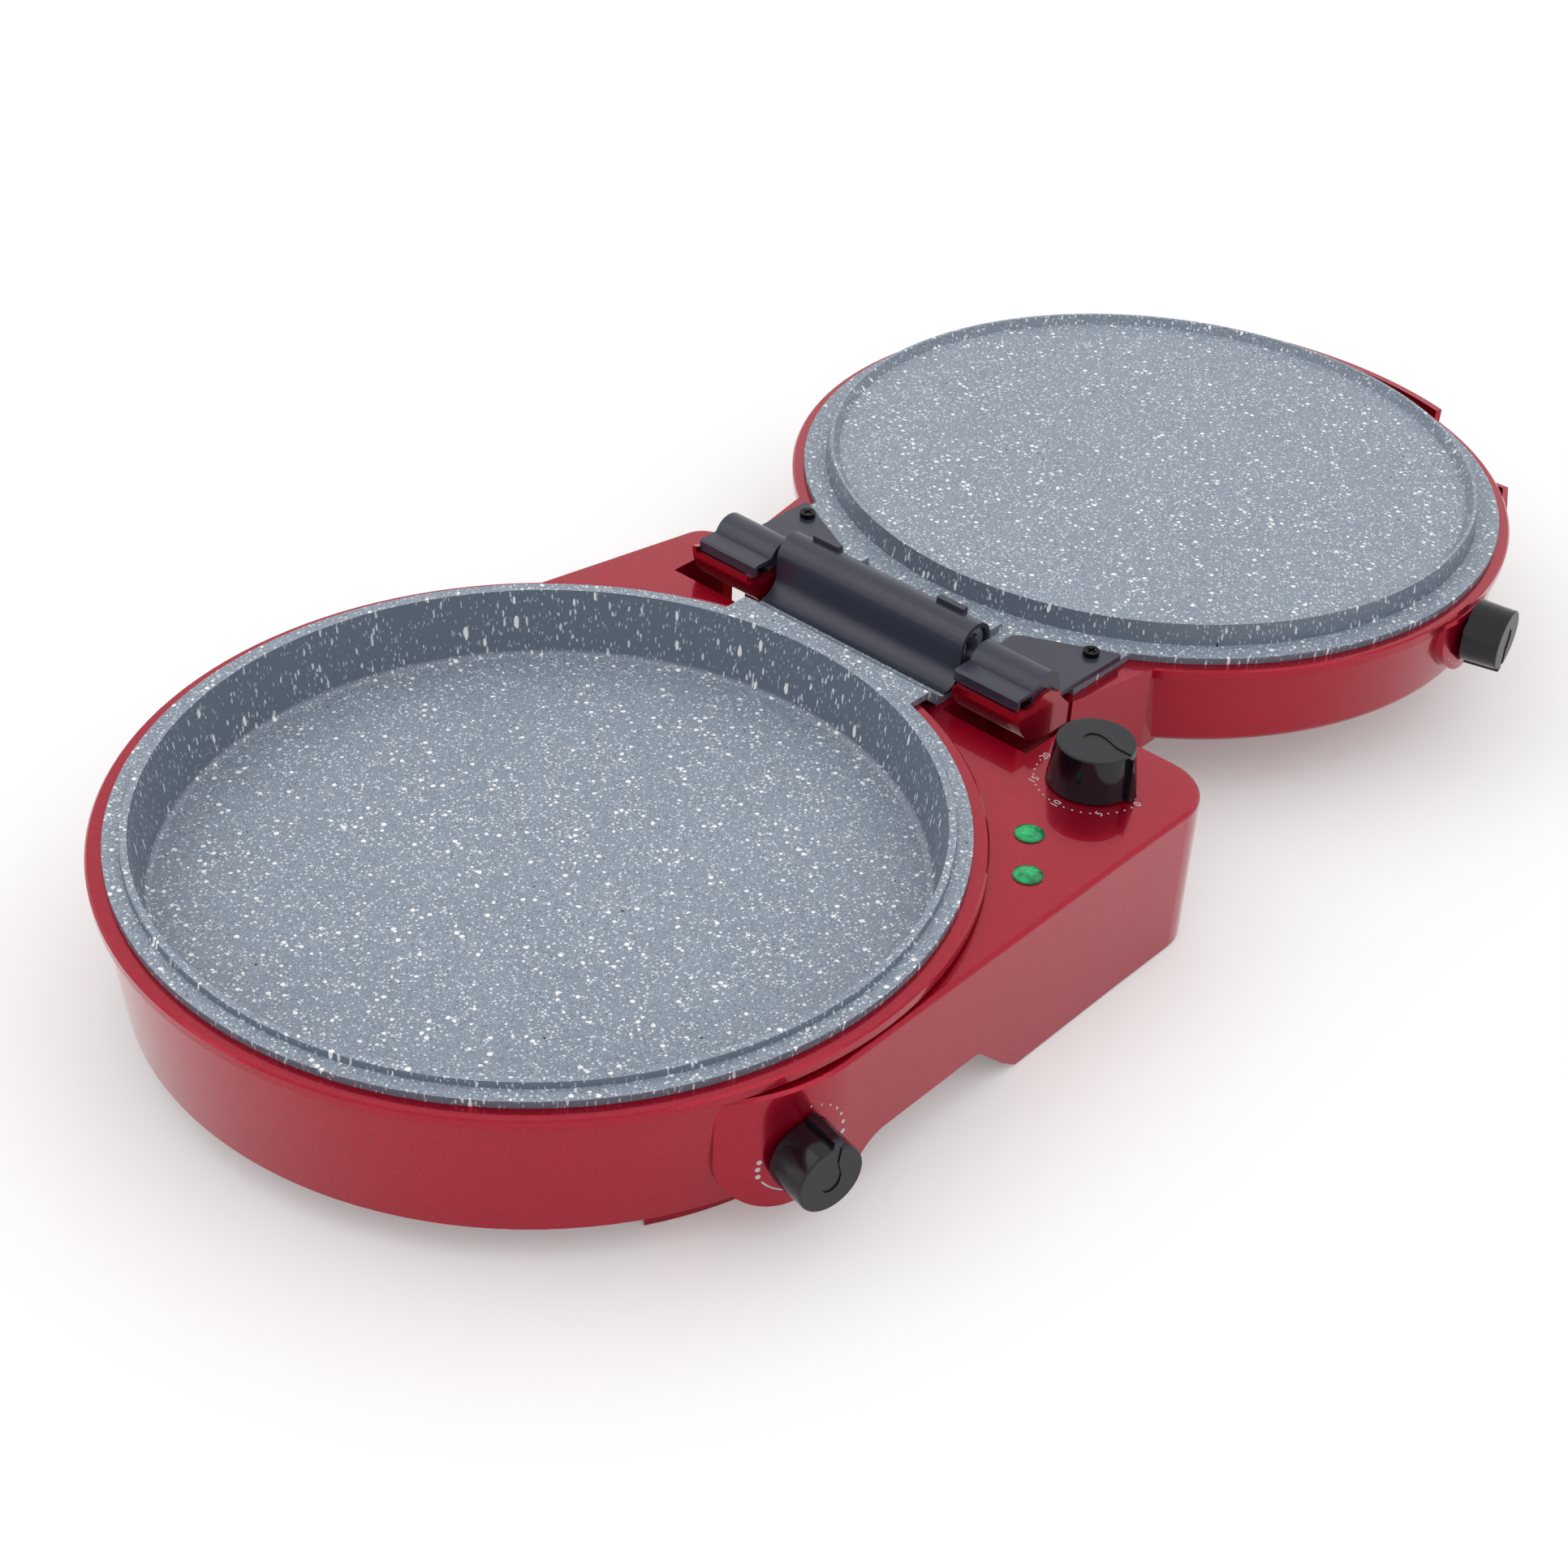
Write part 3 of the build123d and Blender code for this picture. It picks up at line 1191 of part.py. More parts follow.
# Hinge cover of one side: a bump over the lug, a front lip and a flat tray behind
def side_cover(sign):
    foot = lid_flange_z - pin_z
    x0 = side_cover_x0 if sign > 0 else -side_cover_x1
    cap_x = side_cover_x1 - side_cover_cap if sign > 0 else -side_cover_x1
    front = pin_y + tray_front
    rear = pin_y + tray_rear
    tray = [(cut_x0 - tray_front_in[0], front + tray_front_in[1]),
            (cut_x0 - tray_rear_in[0], rear - tray_rear_in[1]),
            (cut_x0 - tray_step_in[0], rear - tray_step_in[1]), (plate_tail_x - tray_corner, rear),
            (plate_tail_x + tray_lap, rear - tray_corner), (side_cover_x1, front), (side_cover_x0, front)]
    lip_front = -side_cover_front
    lip_back = lip_front + side_cover_t
    inner_r = side_cover_r - side_cover_t
    with BuildPart() as body:
        with BuildSketch(pin_plane(x0)):
            Circle(side_cover_r)
            with BuildLine():
                Polyline((lip_front, ear_top + side_lip_gap), (lip_back, ear_top + side_lip_gap),
                         (lip_back, side_lip_z[0]), (0, side_lip_z[0]), (0, side_lip_z[2]),
                         (lip_front + side_lip_z[2] - side_lip_z[1], side_lip_z[2]),
                         (lip_front, side_lip_z[1]), close=True)
            make_face()
            with BuildLine():
                Polyline((0, 0), (side_cover_r, 0), (side_cover_r + side_cover_flare, foot + tray_t),
                         (side_cover_foot, foot + tray_t), (side_cover_foot, foot), (0, foot), close=True)
            make_face()
            Circle(inner_r, mode=Mode.SUBTRACT)
            with BuildLine():
                Polyline((-side_cover_r - over, 0), (-side_cover_r - over, -far), (inner_r, -far),
                         (inner_r, 0), close=True)
            make_face(mode=Mode.SUBTRACT)
        extrude(amount=side_cover_x1 - side_cover_x0)
        with BuildSketch(pin_plane(cap_x)):
            Circle(side_cover_r)
            with Locations((0, -side_cap_drop - side_cover_r)):
                Rectangle(2 * far, 2 * side_cover_r, mode=Mode.SUBTRACT)
        extrude(amount=side_cover_cap)
        add(prism(base_plane, lid_flange_z, lid_flange_z + tray_t, [(sign * x, y) for x, y in tray]))
        with BuildSketch(base_plane.offset(lid_flange_z - over)):
            with Locations((sign * tail_screw[0], tail_screw[1])):
                Circle(screw_r + screw_clear)
        extrude(amount=tray_t + 2 * over, mode=Mode.SUBTRACT)
    return body.part


with BuildPart() as hinge_cover_right:
    add(side_cover(1))
hinge_cover_right.part.label = "hinge_cover_right"
export_step(hinge_cover_right.part, "parts/hinge_cover_right.step")

with BuildPart() as hinge_cover_left:
    add(side_cover(-1))
hinge_cover_left.part.label = "hinge_cover_left"
export_step(hinge_cover_left.part, "parts/hinge_cover_left.step")

# Cross-head screws through the covers and the plate into the neck
with BuildPart() as plate_screws:
    top = lid_flange_z + tray_t
    for x, y in tail_screws:
        spot = moved_plane(base_plane, x, y)
        add(peg(spot.offset(top), screw_head_r, screw_head_h))
        add(peg(spot.offset(lid_seat_z - tail_screw_len), screw_r, top - lid_seat_z + tail_screw_len))
        for w, h in ((cross_len, cross_w), (cross_w, cross_len)):
            with BuildSketch(spot.offset(top + screw_head_h)):
                Rectangle(w, h)
            extrude(amount=-cross_depth, mode=Mode.SUBTRACT)
plate_screws.part.label = "plate_screws"
export_step(plate_screws.part, "parts/plate_screws.step")
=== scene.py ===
# %% [markdown]
# # An electric pizza maker, lying open
#
# Two round red casings are hinged back to back. The base holds a deep pan, the lid a raised plate,
# and both castings wear the same grey non-stick coat with white specks. The construction comes as a
# fixed model in metres, so this lesson is about finishes, small prints, jewels and light. Its first
# lines load that model and keep the size of its box.

# %% Load the fixed model
import json
import math

import bmesh
import bpy
from mathutils import Euler, Matrix, Vector
from mathutils.bvhtree import BVHTree


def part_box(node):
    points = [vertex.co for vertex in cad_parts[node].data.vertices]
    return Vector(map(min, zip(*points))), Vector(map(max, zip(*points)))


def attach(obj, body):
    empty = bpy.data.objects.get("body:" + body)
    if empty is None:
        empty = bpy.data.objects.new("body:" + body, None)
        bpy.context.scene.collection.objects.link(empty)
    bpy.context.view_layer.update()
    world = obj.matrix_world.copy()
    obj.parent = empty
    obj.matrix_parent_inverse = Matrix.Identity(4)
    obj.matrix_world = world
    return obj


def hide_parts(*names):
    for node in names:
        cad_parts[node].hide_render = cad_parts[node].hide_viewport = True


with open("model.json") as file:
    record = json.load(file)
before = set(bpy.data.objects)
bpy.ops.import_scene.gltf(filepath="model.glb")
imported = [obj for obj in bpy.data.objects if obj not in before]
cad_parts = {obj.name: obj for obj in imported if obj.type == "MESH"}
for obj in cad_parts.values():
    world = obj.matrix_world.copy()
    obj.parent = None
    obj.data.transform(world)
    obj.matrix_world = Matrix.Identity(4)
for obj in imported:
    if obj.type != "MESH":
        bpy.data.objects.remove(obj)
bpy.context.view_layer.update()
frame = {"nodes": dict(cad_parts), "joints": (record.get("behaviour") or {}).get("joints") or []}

nodes = frame["nodes"]
joints = {joint["name"]: joint for joint in frame["joints"]}
mm = 0.001
print("pieces in the fixed model:", len(nodes))

# %% [markdown]
# ## Measuring the fixed model
#
# Everything added later sits on something that is already there. The box of a shaft gives the middle
# of its knob, the box of the two lenses gives the middle of each lamp, and a joint carries the place
# and the direction of its axis. The bushing round the timer's shaft ends flush with the deck, so its
# top is the height of the deck. Reading places this way keeps the new pieces on their seats.

# %% Places read from the model
timer_low, timer_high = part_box("timer_shaft")
timer_centre = Vector(((timer_low.x + timer_high.x) / 2, (timer_low.y + timer_high.y) / 2, 0))
deck_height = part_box("timer_movement")[1].z

lens_radius = 6.1 * mm
lens_low, lens_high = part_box("indicator_lenses")
lamp_centres = [
    Vector((lens_low.x + lens_radius, lens_high.y - lens_radius, 0)),
    Vector((lens_high.x - lens_radius, lens_low.y + lens_radius, 0)),
]


def knob_seat(joint_name):
    """Where a knob's axis leaves the casing, and the direction that points out of it."""
    joint = joints[joint_name]
    return Vector(joint["pos_m"]), -Vector(joint["axis"]).normalized()


print("deck at", round(deck_height / mm, 1), "mm, timer at", [round(c / mm, 1) for c in timer_centre[:2]])

# %% [markdown]
# ## Colour and nodes
#
# Colours are picked as sRGB hex codes, the way a paint chart gives them, but shaders calculate in
# linear light, so one function turns the first into the second. A second helper adds one shader node
# and fills its sockets, which keeps each finish below to a few readable lines.

# %% Helpers for colours, nodes and materials
def linear(hex_code):
    """The linear RGBA of an sRGB hex code."""
    channels = [int(hex_code[i:i + 2], 16) / 255 for i in (1, 3, 5)]
    light = [c / 12.92 if c <= 0.04045 else ((c + 0.055) / 1.055) ** 2.4 for c in channels]
    return (*light, 1.0)


def in_use(sockets, name):
    """The socket of that name which the node's settings have switched on."""
    return next(socket for socket in sockets if socket.name == name and socket.enabled)


def add_node(tree, kind, sockets=None, **settings):
    """One node with its settings; a socket is given a constant, or another node's output."""
    new = tree.nodes.new(kind)
    for name, value in settings.items():
        setattr(new, name, value)
    for name, value in (sockets or {}).items():
        socket = in_use(new.inputs, name) if isinstance(name, str) else new.inputs[name]
        if isinstance(value, bpy.types.NodeSocket):
            tree.links.new(value, socket)
        else:
            socket.default_value = value
    return new


def start_material(name, sockets):
    """A named material, its node tree, its main shader, and the coordinates of the object."""
    material = bpy.data.materials.new(name)
    material.use_nodes = True
    tree = material.node_tree
    shader = tree.nodes["Principled BSDF"]
    for socket, value in sockets.items():
        shader.inputs[socket].default_value = value
    place = add_node(tree, "ShaderNodeTexCoord").outputs["Object"]
    return material, tree, shader, place


def repeats(size_mm):
    """Texture scale at which one feature is that many millimetres wide, on coordinates in metres."""
    return 1000 / size_mm


print("mid grey in linear light:", [round(c, 3) for c in linear("#808080")[:3]])

# %% [markdown]
# ## Red lacquer
#
# The casings are moulded ABS with a metallic lacquer. Three layers meet the eye: a red base, fine
# metal flakes that give the walls their soft glow, and a clear coat that mirrors the room sharply.
# A partly metallic shader under a coat shows all three. Flakes are far finer than a pixel, so they are
# drawn half a millimetre wide and only shift the red a little, and they lie flatter in some places
# than in others, which gives the soft glow the slight unrest of sprayed lacquer.

# %% Metallic red lacquer on moulded ABS
def red_lacquer():
    material, tree, shader, place = start_material("metallic_red_lacquer_on_ABS", {
        "Metallic": 0.6, "Roughness": 0.24, "Specular IOR Level": 0.1,
        "Coat Weight": 0.8, "Coat IOR": 1.36, "Coat Roughness": 0.03})
    flakes = add_node(tree, "ShaderNodeTexVoronoi", {"Vector": place, "Scale": repeats(0.5)})
    flake_light = add_node(tree, "ShaderNodeSeparateColor", {"Color": flakes.outputs["Color"]})
    tint = add_node(tree, "ShaderNodeMix", {
        "Factor": flake_light.outputs["Red"], "A": linear("#960824"), "B": linear("#ae0c2c")},
        data_type="RGBA")
    wave = add_node(tree, "ShaderNodeTexNoise", {"Vector": place, "Scale": repeats(9.0), "Detail": 1.0})
    flake_lie = add_node(tree, "ShaderNodeMapRange", {
        "Value": wave.outputs[0], "To Min": 0.2, "To Max": 0.28})
    tree.links.new(in_use(tint.outputs, "Result"), shader.inputs["Base Color"])
    tree.links.new(flake_lie.outputs["Result"], shader.inputs["Roughness"])
    return material


lacquer = red_lacquer()
print("made", lacquer.name)

# %% [markdown]
# ## Stone-effect non-stick coat
#
# Both castings are aluminium, sprayed with a blue-grey non-stick base and then spattered with white
# and a few dark droplets. A droplet is the core of a Voronoi cell, shown only where a random value
# of that cell says so and as large as another one says. Droplets hit the steep walls at a glancing
# angle and run out into upright streaks, and stretching the pattern along Z does just that: level
# faces keep round specks, walls get long ones. A mist of much finer droplets lies between them.
# Steep walls are painted darker and given fewer droplets, as painted shade. How steep a wall is
# is read from the way that the surface faces on the piece itself.

# %% Droplets of one spray
smallest_share = 0.15


def droplets(tree, place, cell_mm, widest_mm, share):
    """A mask that is 1 inside droplets: a share of the cells holds one, each of its own size."""
    cells = add_node(tree, "ShaderNodeTexVoronoi", {"Vector": place, "Scale": repeats(cell_mm)})
    luck = add_node(tree, "ShaderNodeSeparateColor", {"Color": cells.outputs["Color"]})
    widest = widest_mm / cell_mm
    size = add_node(tree, "ShaderNodeMapRange", {
        "Value": luck.outputs["Red"], "To Min": smallest_share * widest, "To Max": 0.5 * widest})
    inside = add_node(tree, "ShaderNodeMath", {0: size.outputs["Result"], 1: cells.outputs["Distance"]},
                      operation="GREATER_THAN")
    chosen = add_node(tree, "ShaderNodeMath", {0: share, 1: luck.outputs["Green"]},
                      operation="GREATER_THAN")
    both = add_node(tree, "ShaderNodeMath", {0: inside.outputs[0], 1: chosen.outputs[0]},
                    operation="MULTIPLY")
    return both.outputs[0]


print("the smallest droplet of a spray has", 2 * smallest_share, "of its widest one's width")

# %% [markdown]
# Each spray of the coat is one line in a list: how far apart its droplets lie, how wide the widest
# one is, what share of the places is filled, and its colour. The fine mist comes first, the large
# white drops lie on top of it, as they do on the real plate, and a few dark specks come last.
# Droplets of real paint aren't round, so a noise shifts the pattern by up to a millimetre, which
# frays their edges.

# %% Speckled non-stick coat on cast aluminium
streak_squeeze = (1.0, 1.0, 0.3)
droplet_edge = 0.9 * mm
coat_sprays = [
    (0.9, 0.9, 0.4, "#626c79"),
    (0.8, 0.75, 0.7, "#b0b8c0"),
    (1.5, 1.3, 0.6, "#d0d6dc"),
    (3.1, 2.2, 0.36, "#f0f1f2"),
    (8.0, 1.4, 0.3, "#23272d"),
]


def speckled_coat():
    material, tree, shader, place = start_material("speckled_nonstick_coat_on_cast_aluminium", {
        "Roughness": 0.42, "Specular IOR Level": 0.5})
    streaked = add_node(tree, "ShaderNodeMapping", {"Vector": place, "Scale": streak_squeeze})
    rough_edge = add_node(tree, "ShaderNodeTexNoise", {
        "Vector": streaked.outputs["Vector"], "Scale": repeats(1.1), "Detail": 1.0})
    edge_shift = add_node(tree, "ShaderNodeVectorMath", {
        0: rough_edge.outputs["Color"], 1: (droplet_edge,) * 3}, operation="MULTIPLY")
    spatter = add_node(tree, "ShaderNodeVectorMath", {
        0: streaked.outputs["Vector"], 1: edge_shift.outputs[0]}, operation="ADD").outputs[0]

    cloud = add_node(tree, "ShaderNodeTexNoise", {"Vector": place, "Scale": repeats(55.0), "Detail": 3.0})
    base = add_node(tree, "ShaderNodeMix", {
        "Factor": cloud.outputs[0], "A": linear("#7c8795"), "B": linear("#8a95a3")}, data_type="RGBA")
    colour = in_use(base.outputs, "Result")
    # Painted shade: steep walls get a darker ground colour and fewer droplets of every spray.
    facing = add_node(tree, "ShaderNodeTexCoord").outputs["Normal"]
    way_up = add_node(tree, "ShaderNodeSeparateXYZ", {"Vector": facing})
    level = add_node(tree, "ShaderNodeMapRange", {
        "Value": way_up.outputs["Z"], "From Min": 0.3, "From Max": 0.95})
    wall_shade_droplet_share = add_node(tree, "ShaderNodeMapRange", {
        "Value": level.outputs["Result"], "To Min": 0.45, "To Max": 1.0}).outputs["Result"]
    painted_wall_shade = add_node(tree, "ShaderNodeMix", {
        "Factor": level.outputs["Result"], "A": linear("#66717f"), "B": colour}, data_type="RGBA")
    colour = in_use(painted_wall_shade.outputs, "Result")
    for cell_mm, widest_mm, share, hex_code in coat_sprays:
        thinned = add_node(tree, "ShaderNodeMath", {0: wall_shade_droplet_share, 1: share}, operation="MULTIPLY")
        mask = droplets(tree, spatter, cell_mm, widest_mm, thinned.outputs[0])
        layer = add_node(tree, "ShaderNodeMix", {"Factor": mask, "A": colour, "B": linear(hex_code)},
                         data_type="RGBA")
        colour = in_use(layer.outputs, "Result")
    tree.links.new(colour, shader.inputs["Base Color"])

    grain = add_node(tree, "ShaderNodeTexNoise", {"Vector": place, "Scale": repeats(0.9), "Detail": 2.0})
    bump = add_node(tree, "ShaderNodeBump", {
        "Height": grain.outputs[0], "Distance": 0.04 * mm, "Strength": 0.6})
    tree.links.new(bump.outputs["Normal"], shader.inputs["Normal"])
    return material


nonstick = speckled_coat()
print("made", nonstick.name, "with", len(nonstick.node_tree.nodes), "nodes")

# %% [markdown]
# ## Black mouldings
#
# Three blacks differ only in how their moulds were finished. The hinge covers come from a finely
# etched mould and shine softly, with faint rubbed patches. The knobs come from a polished one, so
# their sides mirror the room, but their end face is etched. Bottom cover and gland are plainly matt.
# One function makes covers, bottom cover and gland, from a colour, two roughness values and the size
# of the etched grain. The knobs follow in a cell of their own.

# %% Etched and matt black plastics
def black_plastic(name, hex_code, smooth, dull, grain_mm, grain_depth_mm):
    material, tree, shader, place = start_material(name, {"Base Color": linear(hex_code)})
    rubbed = add_node(tree, "ShaderNodeTexNoise", {"Vector": place, "Scale": repeats(24.0), "Detail": 4.0})
    gloss = add_node(tree, "ShaderNodeMapRange", {
        "Value": rubbed.outputs[0], "From Min": 0.35, "From Max": 0.65, "To Min": smooth, "To Max": dull})
    tree.links.new(gloss.outputs["Result"], shader.inputs["Roughness"])
    etch = add_node(tree, "ShaderNodeTexNoise", {"Vector": place, "Scale": repeats(grain_mm), "Detail": 2.0})
    bump = add_node(tree, "ShaderNodeBump", {
        "Height": etch.outputs[0], "Distance": grain_depth_mm * mm, "Strength": 0.5})
    tree.links.new(bump.outputs["Normal"], shader.inputs["Normal"])
    return material


satin_black = black_plastic("satin_black_polyamide_moulding", "#2f3140",
                            smooth=0.24, dull=0.34, grain_mm=0.8, grain_depth_mm=0.02)
matt_black = black_plastic("matt_black_polypropylene_moulding", "#161618",
                           smooth=0.6, dull=0.7, grain_mm=1.0, grain_depth_mm=0.04)
print("made", satin_black.name, "and", matt_black.name)

# %% [markdown]
# A knob has its two finishes on one piece, so its material has to know which end is the face. The
# distance along the knob's axis says that: behind the edge of the face the mould was polished, in
# front of it etched. The axis comes from the joint that the knob turns about.

# %% Polished black knob with an etched face
timer_face = 18.5 * mm
thermostat_face = 16.4 * mm
polish_edge = 0.1 * mm


def knob_black(name, joint_name, face_distance):
    """Black that is polished up to the face, which lies at that distance along the axis, and etched there."""
    material, tree, shader, place = start_material(name, {
        "Base Color": linear("#0b0d16"), "Specular IOR Level": 0.42})
    seat, outwards = knob_seat(joint_name)
    along = add_node(tree, "ShaderNodeVectorMath", {0: place, 1: outwards}, operation="DOT_PRODUCT")
    face_at = seat.dot(outwards) + face_distance
    gloss = add_node(tree, "ShaderNodeMapRange", {
        "Value": along.outputs["Value"], "From Min": face_at - polish_edge, "From Max": face_at,
        "To Min": 0.1, "To Max": 0.36})
    tree.links.new(gloss.outputs["Result"], shader.inputs["Roughness"])
    etch = add_node(tree, "ShaderNodeTexNoise", {"Vector": place, "Scale": repeats(0.7), "Detail": 2.0})
    depth = add_node(tree, "ShaderNodeMath", {0: gloss.outputs["Result"], 1: 0.04 * mm}, operation="MULTIPLY")
    bump = add_node(tree, "ShaderNodeBump", {
        "Height": etch.outputs[0], "Distance": depth.outputs[0], "Strength": 0.4})
    tree.links.new(bump.outputs["Normal"], shader.inputs["Normal"])
    return material


timer_black = knob_black("polished_ABS_timer_knob", "timer_turn", timer_face)
lower_black = knob_black("polished_ABS_lower_knob", "lower_thermostat_turn", thermostat_face)
upper_black = knob_black("polished_ABS_upper_knob", "upper_thermostat_turn", thermostat_face)
print("made three knob finishes")

# %% [markdown]
# ## Metals, phenolic, rubber and glass
#
# The remaining pieces are seen only from below, through a gap, or when the lid is lifted. Each still
# gets what its surface was made by: zinc plating is faintly mottled, blackened screws are darker and
# duller, rolled sheet has fine parallel lines, and a heating element is browned by its own heat. One
# flat colour would look like paint, so a noise drives both the colour and the roughness. One function
# makes all four metals, with the noise stretched along X for the rolled sheet.

# %% Metal finishes
def metal(name, first, second, patch_mm, roughness, stretch=(1.0, 1.0, 1.0)):
    material, tree, shader, place = start_material(name, {"Metallic": 1.0})
    drawn = add_node(tree, "ShaderNodeMapping", {"Vector": place, "Scale": stretch})
    patches = add_node(tree, "ShaderNodeTexNoise", {
        "Vector": drawn.outputs["Vector"], "Scale": repeats(patch_mm), "Detail": 3.0})
    colour = add_node(tree, "ShaderNodeMix", {
        "Factor": patches.outputs[0], "A": linear(first), "B": linear(second)}, data_type="RGBA")
    gloss = add_node(tree, "ShaderNodeMapRange", {
        "Value": patches.outputs[0], "To Min": roughness - 0.08, "To Max": roughness + 0.08})
    tree.links.new(in_use(colour.outputs, "Result"), shader.inputs["Base Color"])
    tree.links.new(gloss.outputs["Result"], shader.inputs["Roughness"])
    return material


zinc = metal("zinc_plated_steel", "#a9abad", "#c6c8c6", patch_mm=5.0, roughness=0.3)
black_steel = metal("blackened_steel", "#1b1b1d", "#2d2d30", patch_mm=3.0, roughness=0.38)
browned_steel = metal("heat_browned_element_steel", "#4b4038", "#6c5d50", patch_mm=9.0, roughness=0.45)
rolled_sheet = metal("rolled_aluminium_sheet", "#b9bbbd", "#d4d5d6", patch_mm=1.2, roughness=0.34,
                     stretch=(0.03, 1.0, 1.0))
print("made", ", ".join(finish.name for finish in (zinc, black_steel, browned_steel, rolled_sheet)))

# %% [markdown]
# Phenolic resin is moulded with a filler, so the thermostats and the terminal block are cream, dull
# and faintly mottled. The neon lamps have drawn glass tubes, clear, with a skin that is a little
# uneven. The rubber pads are one more black moulding, so the function for the blacks makes them too.

# %% Phenolic, rubber and lamp glass
def phenolic():
    material, tree, shader, place = start_material("cream_phenolic_moulding", {"Roughness": 0.62})
    mottle = add_node(tree, "ShaderNodeTexNoise", {"Vector": place, "Scale": repeats(2.5), "Detail": 3.0})
    colour = add_node(tree, "ShaderNodeMix", {
        "Factor": mottle.outputs[0], "A": linear("#d3cab4"), "B": linear("#e4ddca")}, data_type="RGBA")
    tree.links.new(in_use(colour.outputs, "Result"), shader.inputs["Base Color"])
    return material


def lamp_glass():
    material, tree, shader, place = start_material("neon_lamp_glass", {
        "Base Color": linear("#f4e9dc"), "Transmission Weight": 0.9, "IOR": 1.47})
    draw_marks = add_node(tree, "ShaderNodeTexNoise", {"Vector": place, "Scale": repeats(4.0)})
    gloss = add_node(tree, "ShaderNodeMapRange", {
        "Value": draw_marks.outputs[0], "To Min": 0.02, "To Max": 0.08})
    tree.links.new(gloss.outputs["Result"], shader.inputs["Roughness"])
    return material


cream_phenolic = phenolic()
glass = lamp_glass()
foot_rubber = black_plastic("moulded_foot_rubber", "#191919",
                            smooth=0.78, dull=0.88, grain_mm=0.6, grain_depth_mm=0.05)
print("made", cream_phenolic.name, glass.name, "and", foot_rubber.name)

# %% [markdown]
# ## Dressing the fixed pieces
#
# A fixed piece keeps its mesh and only gets a better material. One list says which piece wears which
# finish, and the count that is printed at the end shows whether a piece was forgotten.

# %% Give each piece its finish
finishes = {
    lacquer: ["base_housing", "lid_housing", "lid_handle"],
    nonstick: ["lower_pan", "upper_plate"],
    satin_black: ["centre_hinge_cover", "hinge_cover_left", "hinge_cover_right"],
    matt_black: ["bottom_cover", "cord_gland"],
    timer_black: ["timer_knob"],
    lower_black: ["lower_thermostat_knob"],
    upper_black: ["upper_thermostat_knob"],
    zinc: ["hinge_pin", "timer_shaft", "lower_thermostat_shaft", "upper_thermostat_shaft",
           "lower_shield_screws", "upper_shield_screws", "bottom_screws"],
    black_steel: ["plate_screws", "pin_clips"],
    browned_steel: ["lower_heating_element", "upper_heating_element"],
    rolled_sheet: ["lower_heat_shield", "upper_heat_shield", "timer_movement"],
    cream_phenolic: ["lower_thermostat", "upper_thermostat", "terminal_block"],
    foot_rubber: ["rubber_pads"],
    glass: ["neon_lamps", "indicator_lenses"],
}
for finish, names in finishes.items():
    for name in names:
        nodes[name].data.materials.clear()
        nodes[name].data.materials.append(finish)
dressed = sum(len(names) for names in finishes.values())
print("dressed", dressed, "of", len(nodes), "pieces")

# %% [markdown]
# ## Helpers for new pieces
#
# New pieces are built with bmesh operators in place, so their objects stay at the origin, unturned.
# One function turns a finished bmesh into an object that rides on a body of the fixed model.

# %% Turn a bmesh into a piece
def finish_piece(bm, name, material, body):
    bmesh.ops.recalc_face_normals(bm, faces=bm.faces)
    mesh = bpy.data.meshes.new(name)
    bm.to_mesh(mesh)
    bm.free()
    mesh.materials.append(material)
    piece = bpy.data.objects.new(name, mesh)
    bpy.context.scene.collection.objects.link(piece)
    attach(piece, body)
    print("made", name, "with", len(mesh.polygons), "faces")
    return piece


# %% [markdown]
# ## Green jewel lenses
#
# Each lamp sits under a green lens of moulded acrylic. Fully clear plastic would show the dark hole
# under it, so this one is mostly solid green and lets a fifth of the light through. Its girdle is
# painted dark, as painted shade of the gap round the lens, and a faint green glow is painted into
# the whole lens as painted light. A soft noise paints light into one part of the stone, making it
# brighter than the other, as the light inside a cut stone does.

# %% Green lens plastic
girdle_height = 0.5 * mm


def lens_plastic():
    # The emission is a faint green glow painted into the lens: painted light.
    material, tree, shader, place = start_material("clear_green_acrylic_lens", {
        "Roughness": 0.06, "IOR": 1.49, "Transmission Weight": 0.2, "Emission Strength": 0.1,
        "Emission Color": linear("#0fbf6f")})
    # Painted light: a soft noise brightens one part of the stone.
    depth = add_node(tree, "ShaderNodeTexNoise", {"Vector": place, "Scale": repeats(4.0), "Detail": 1.0})
    painted_inner_light = add_node(tree, "ShaderNodeMapRange", {
        "Value": depth.outputs[0], "From Min": 0.3, "From Max": 0.7})
    stone = add_node(tree, "ShaderNodeMix", {
        "Factor": painted_inner_light.outputs["Result"], "A": linear("#00603c"), "B": linear("#04cc72")}, data_type="RGBA")
    # Painted shade: the girdle is dark green for the shadowed gap round the lens.
    height = add_node(tree, "ShaderNodeSeparateXYZ", {"Vector": place})
    unshaded_crown = add_node(tree, "ShaderNodeMapRange", {
        "Value": height.outputs["Z"], "From Min": deck_height + girdle_height,
        "From Max": deck_height + 2 * girdle_height})
    colour = add_node(tree, "ShaderNodeMix", {
        "Factor": unshaded_crown.outputs["Result"], "A": linear("#052a1e"), "B": in_use(stone.outputs, "Result")},
        data_type="RGBA")
    tree.links.new(in_use(colour.outputs, "Result"), shader.inputs["Base Color"])
    return material


green_acrylic = lens_plastic()
print("made", green_acrylic.name)

# %% [markdown]
# The lens is cut like a stone: a low rim, then a ring of triangular facets that meets in a small
# flat table. Modelled facets catch the light one by one, which a bump map can't do at the edge of the
# lens. Rings of unequal size are bridged from the stem to the table, and turning the ring in the
# crown by half a step makes the triangles. The table is as high as the plain lens that it stands for.

# %% Cut the two jewels
lens_sides = 14
lens_stem_radius = 5.0 * mm
lens_stem = 8.0 * mm
crown_height = lens_high.z - deck_height - girdle_height
table_radius = 2.3 * mm
break_radius = 0.72 * lens_radius
break_height = girdle_height + 0.62 * crown_height


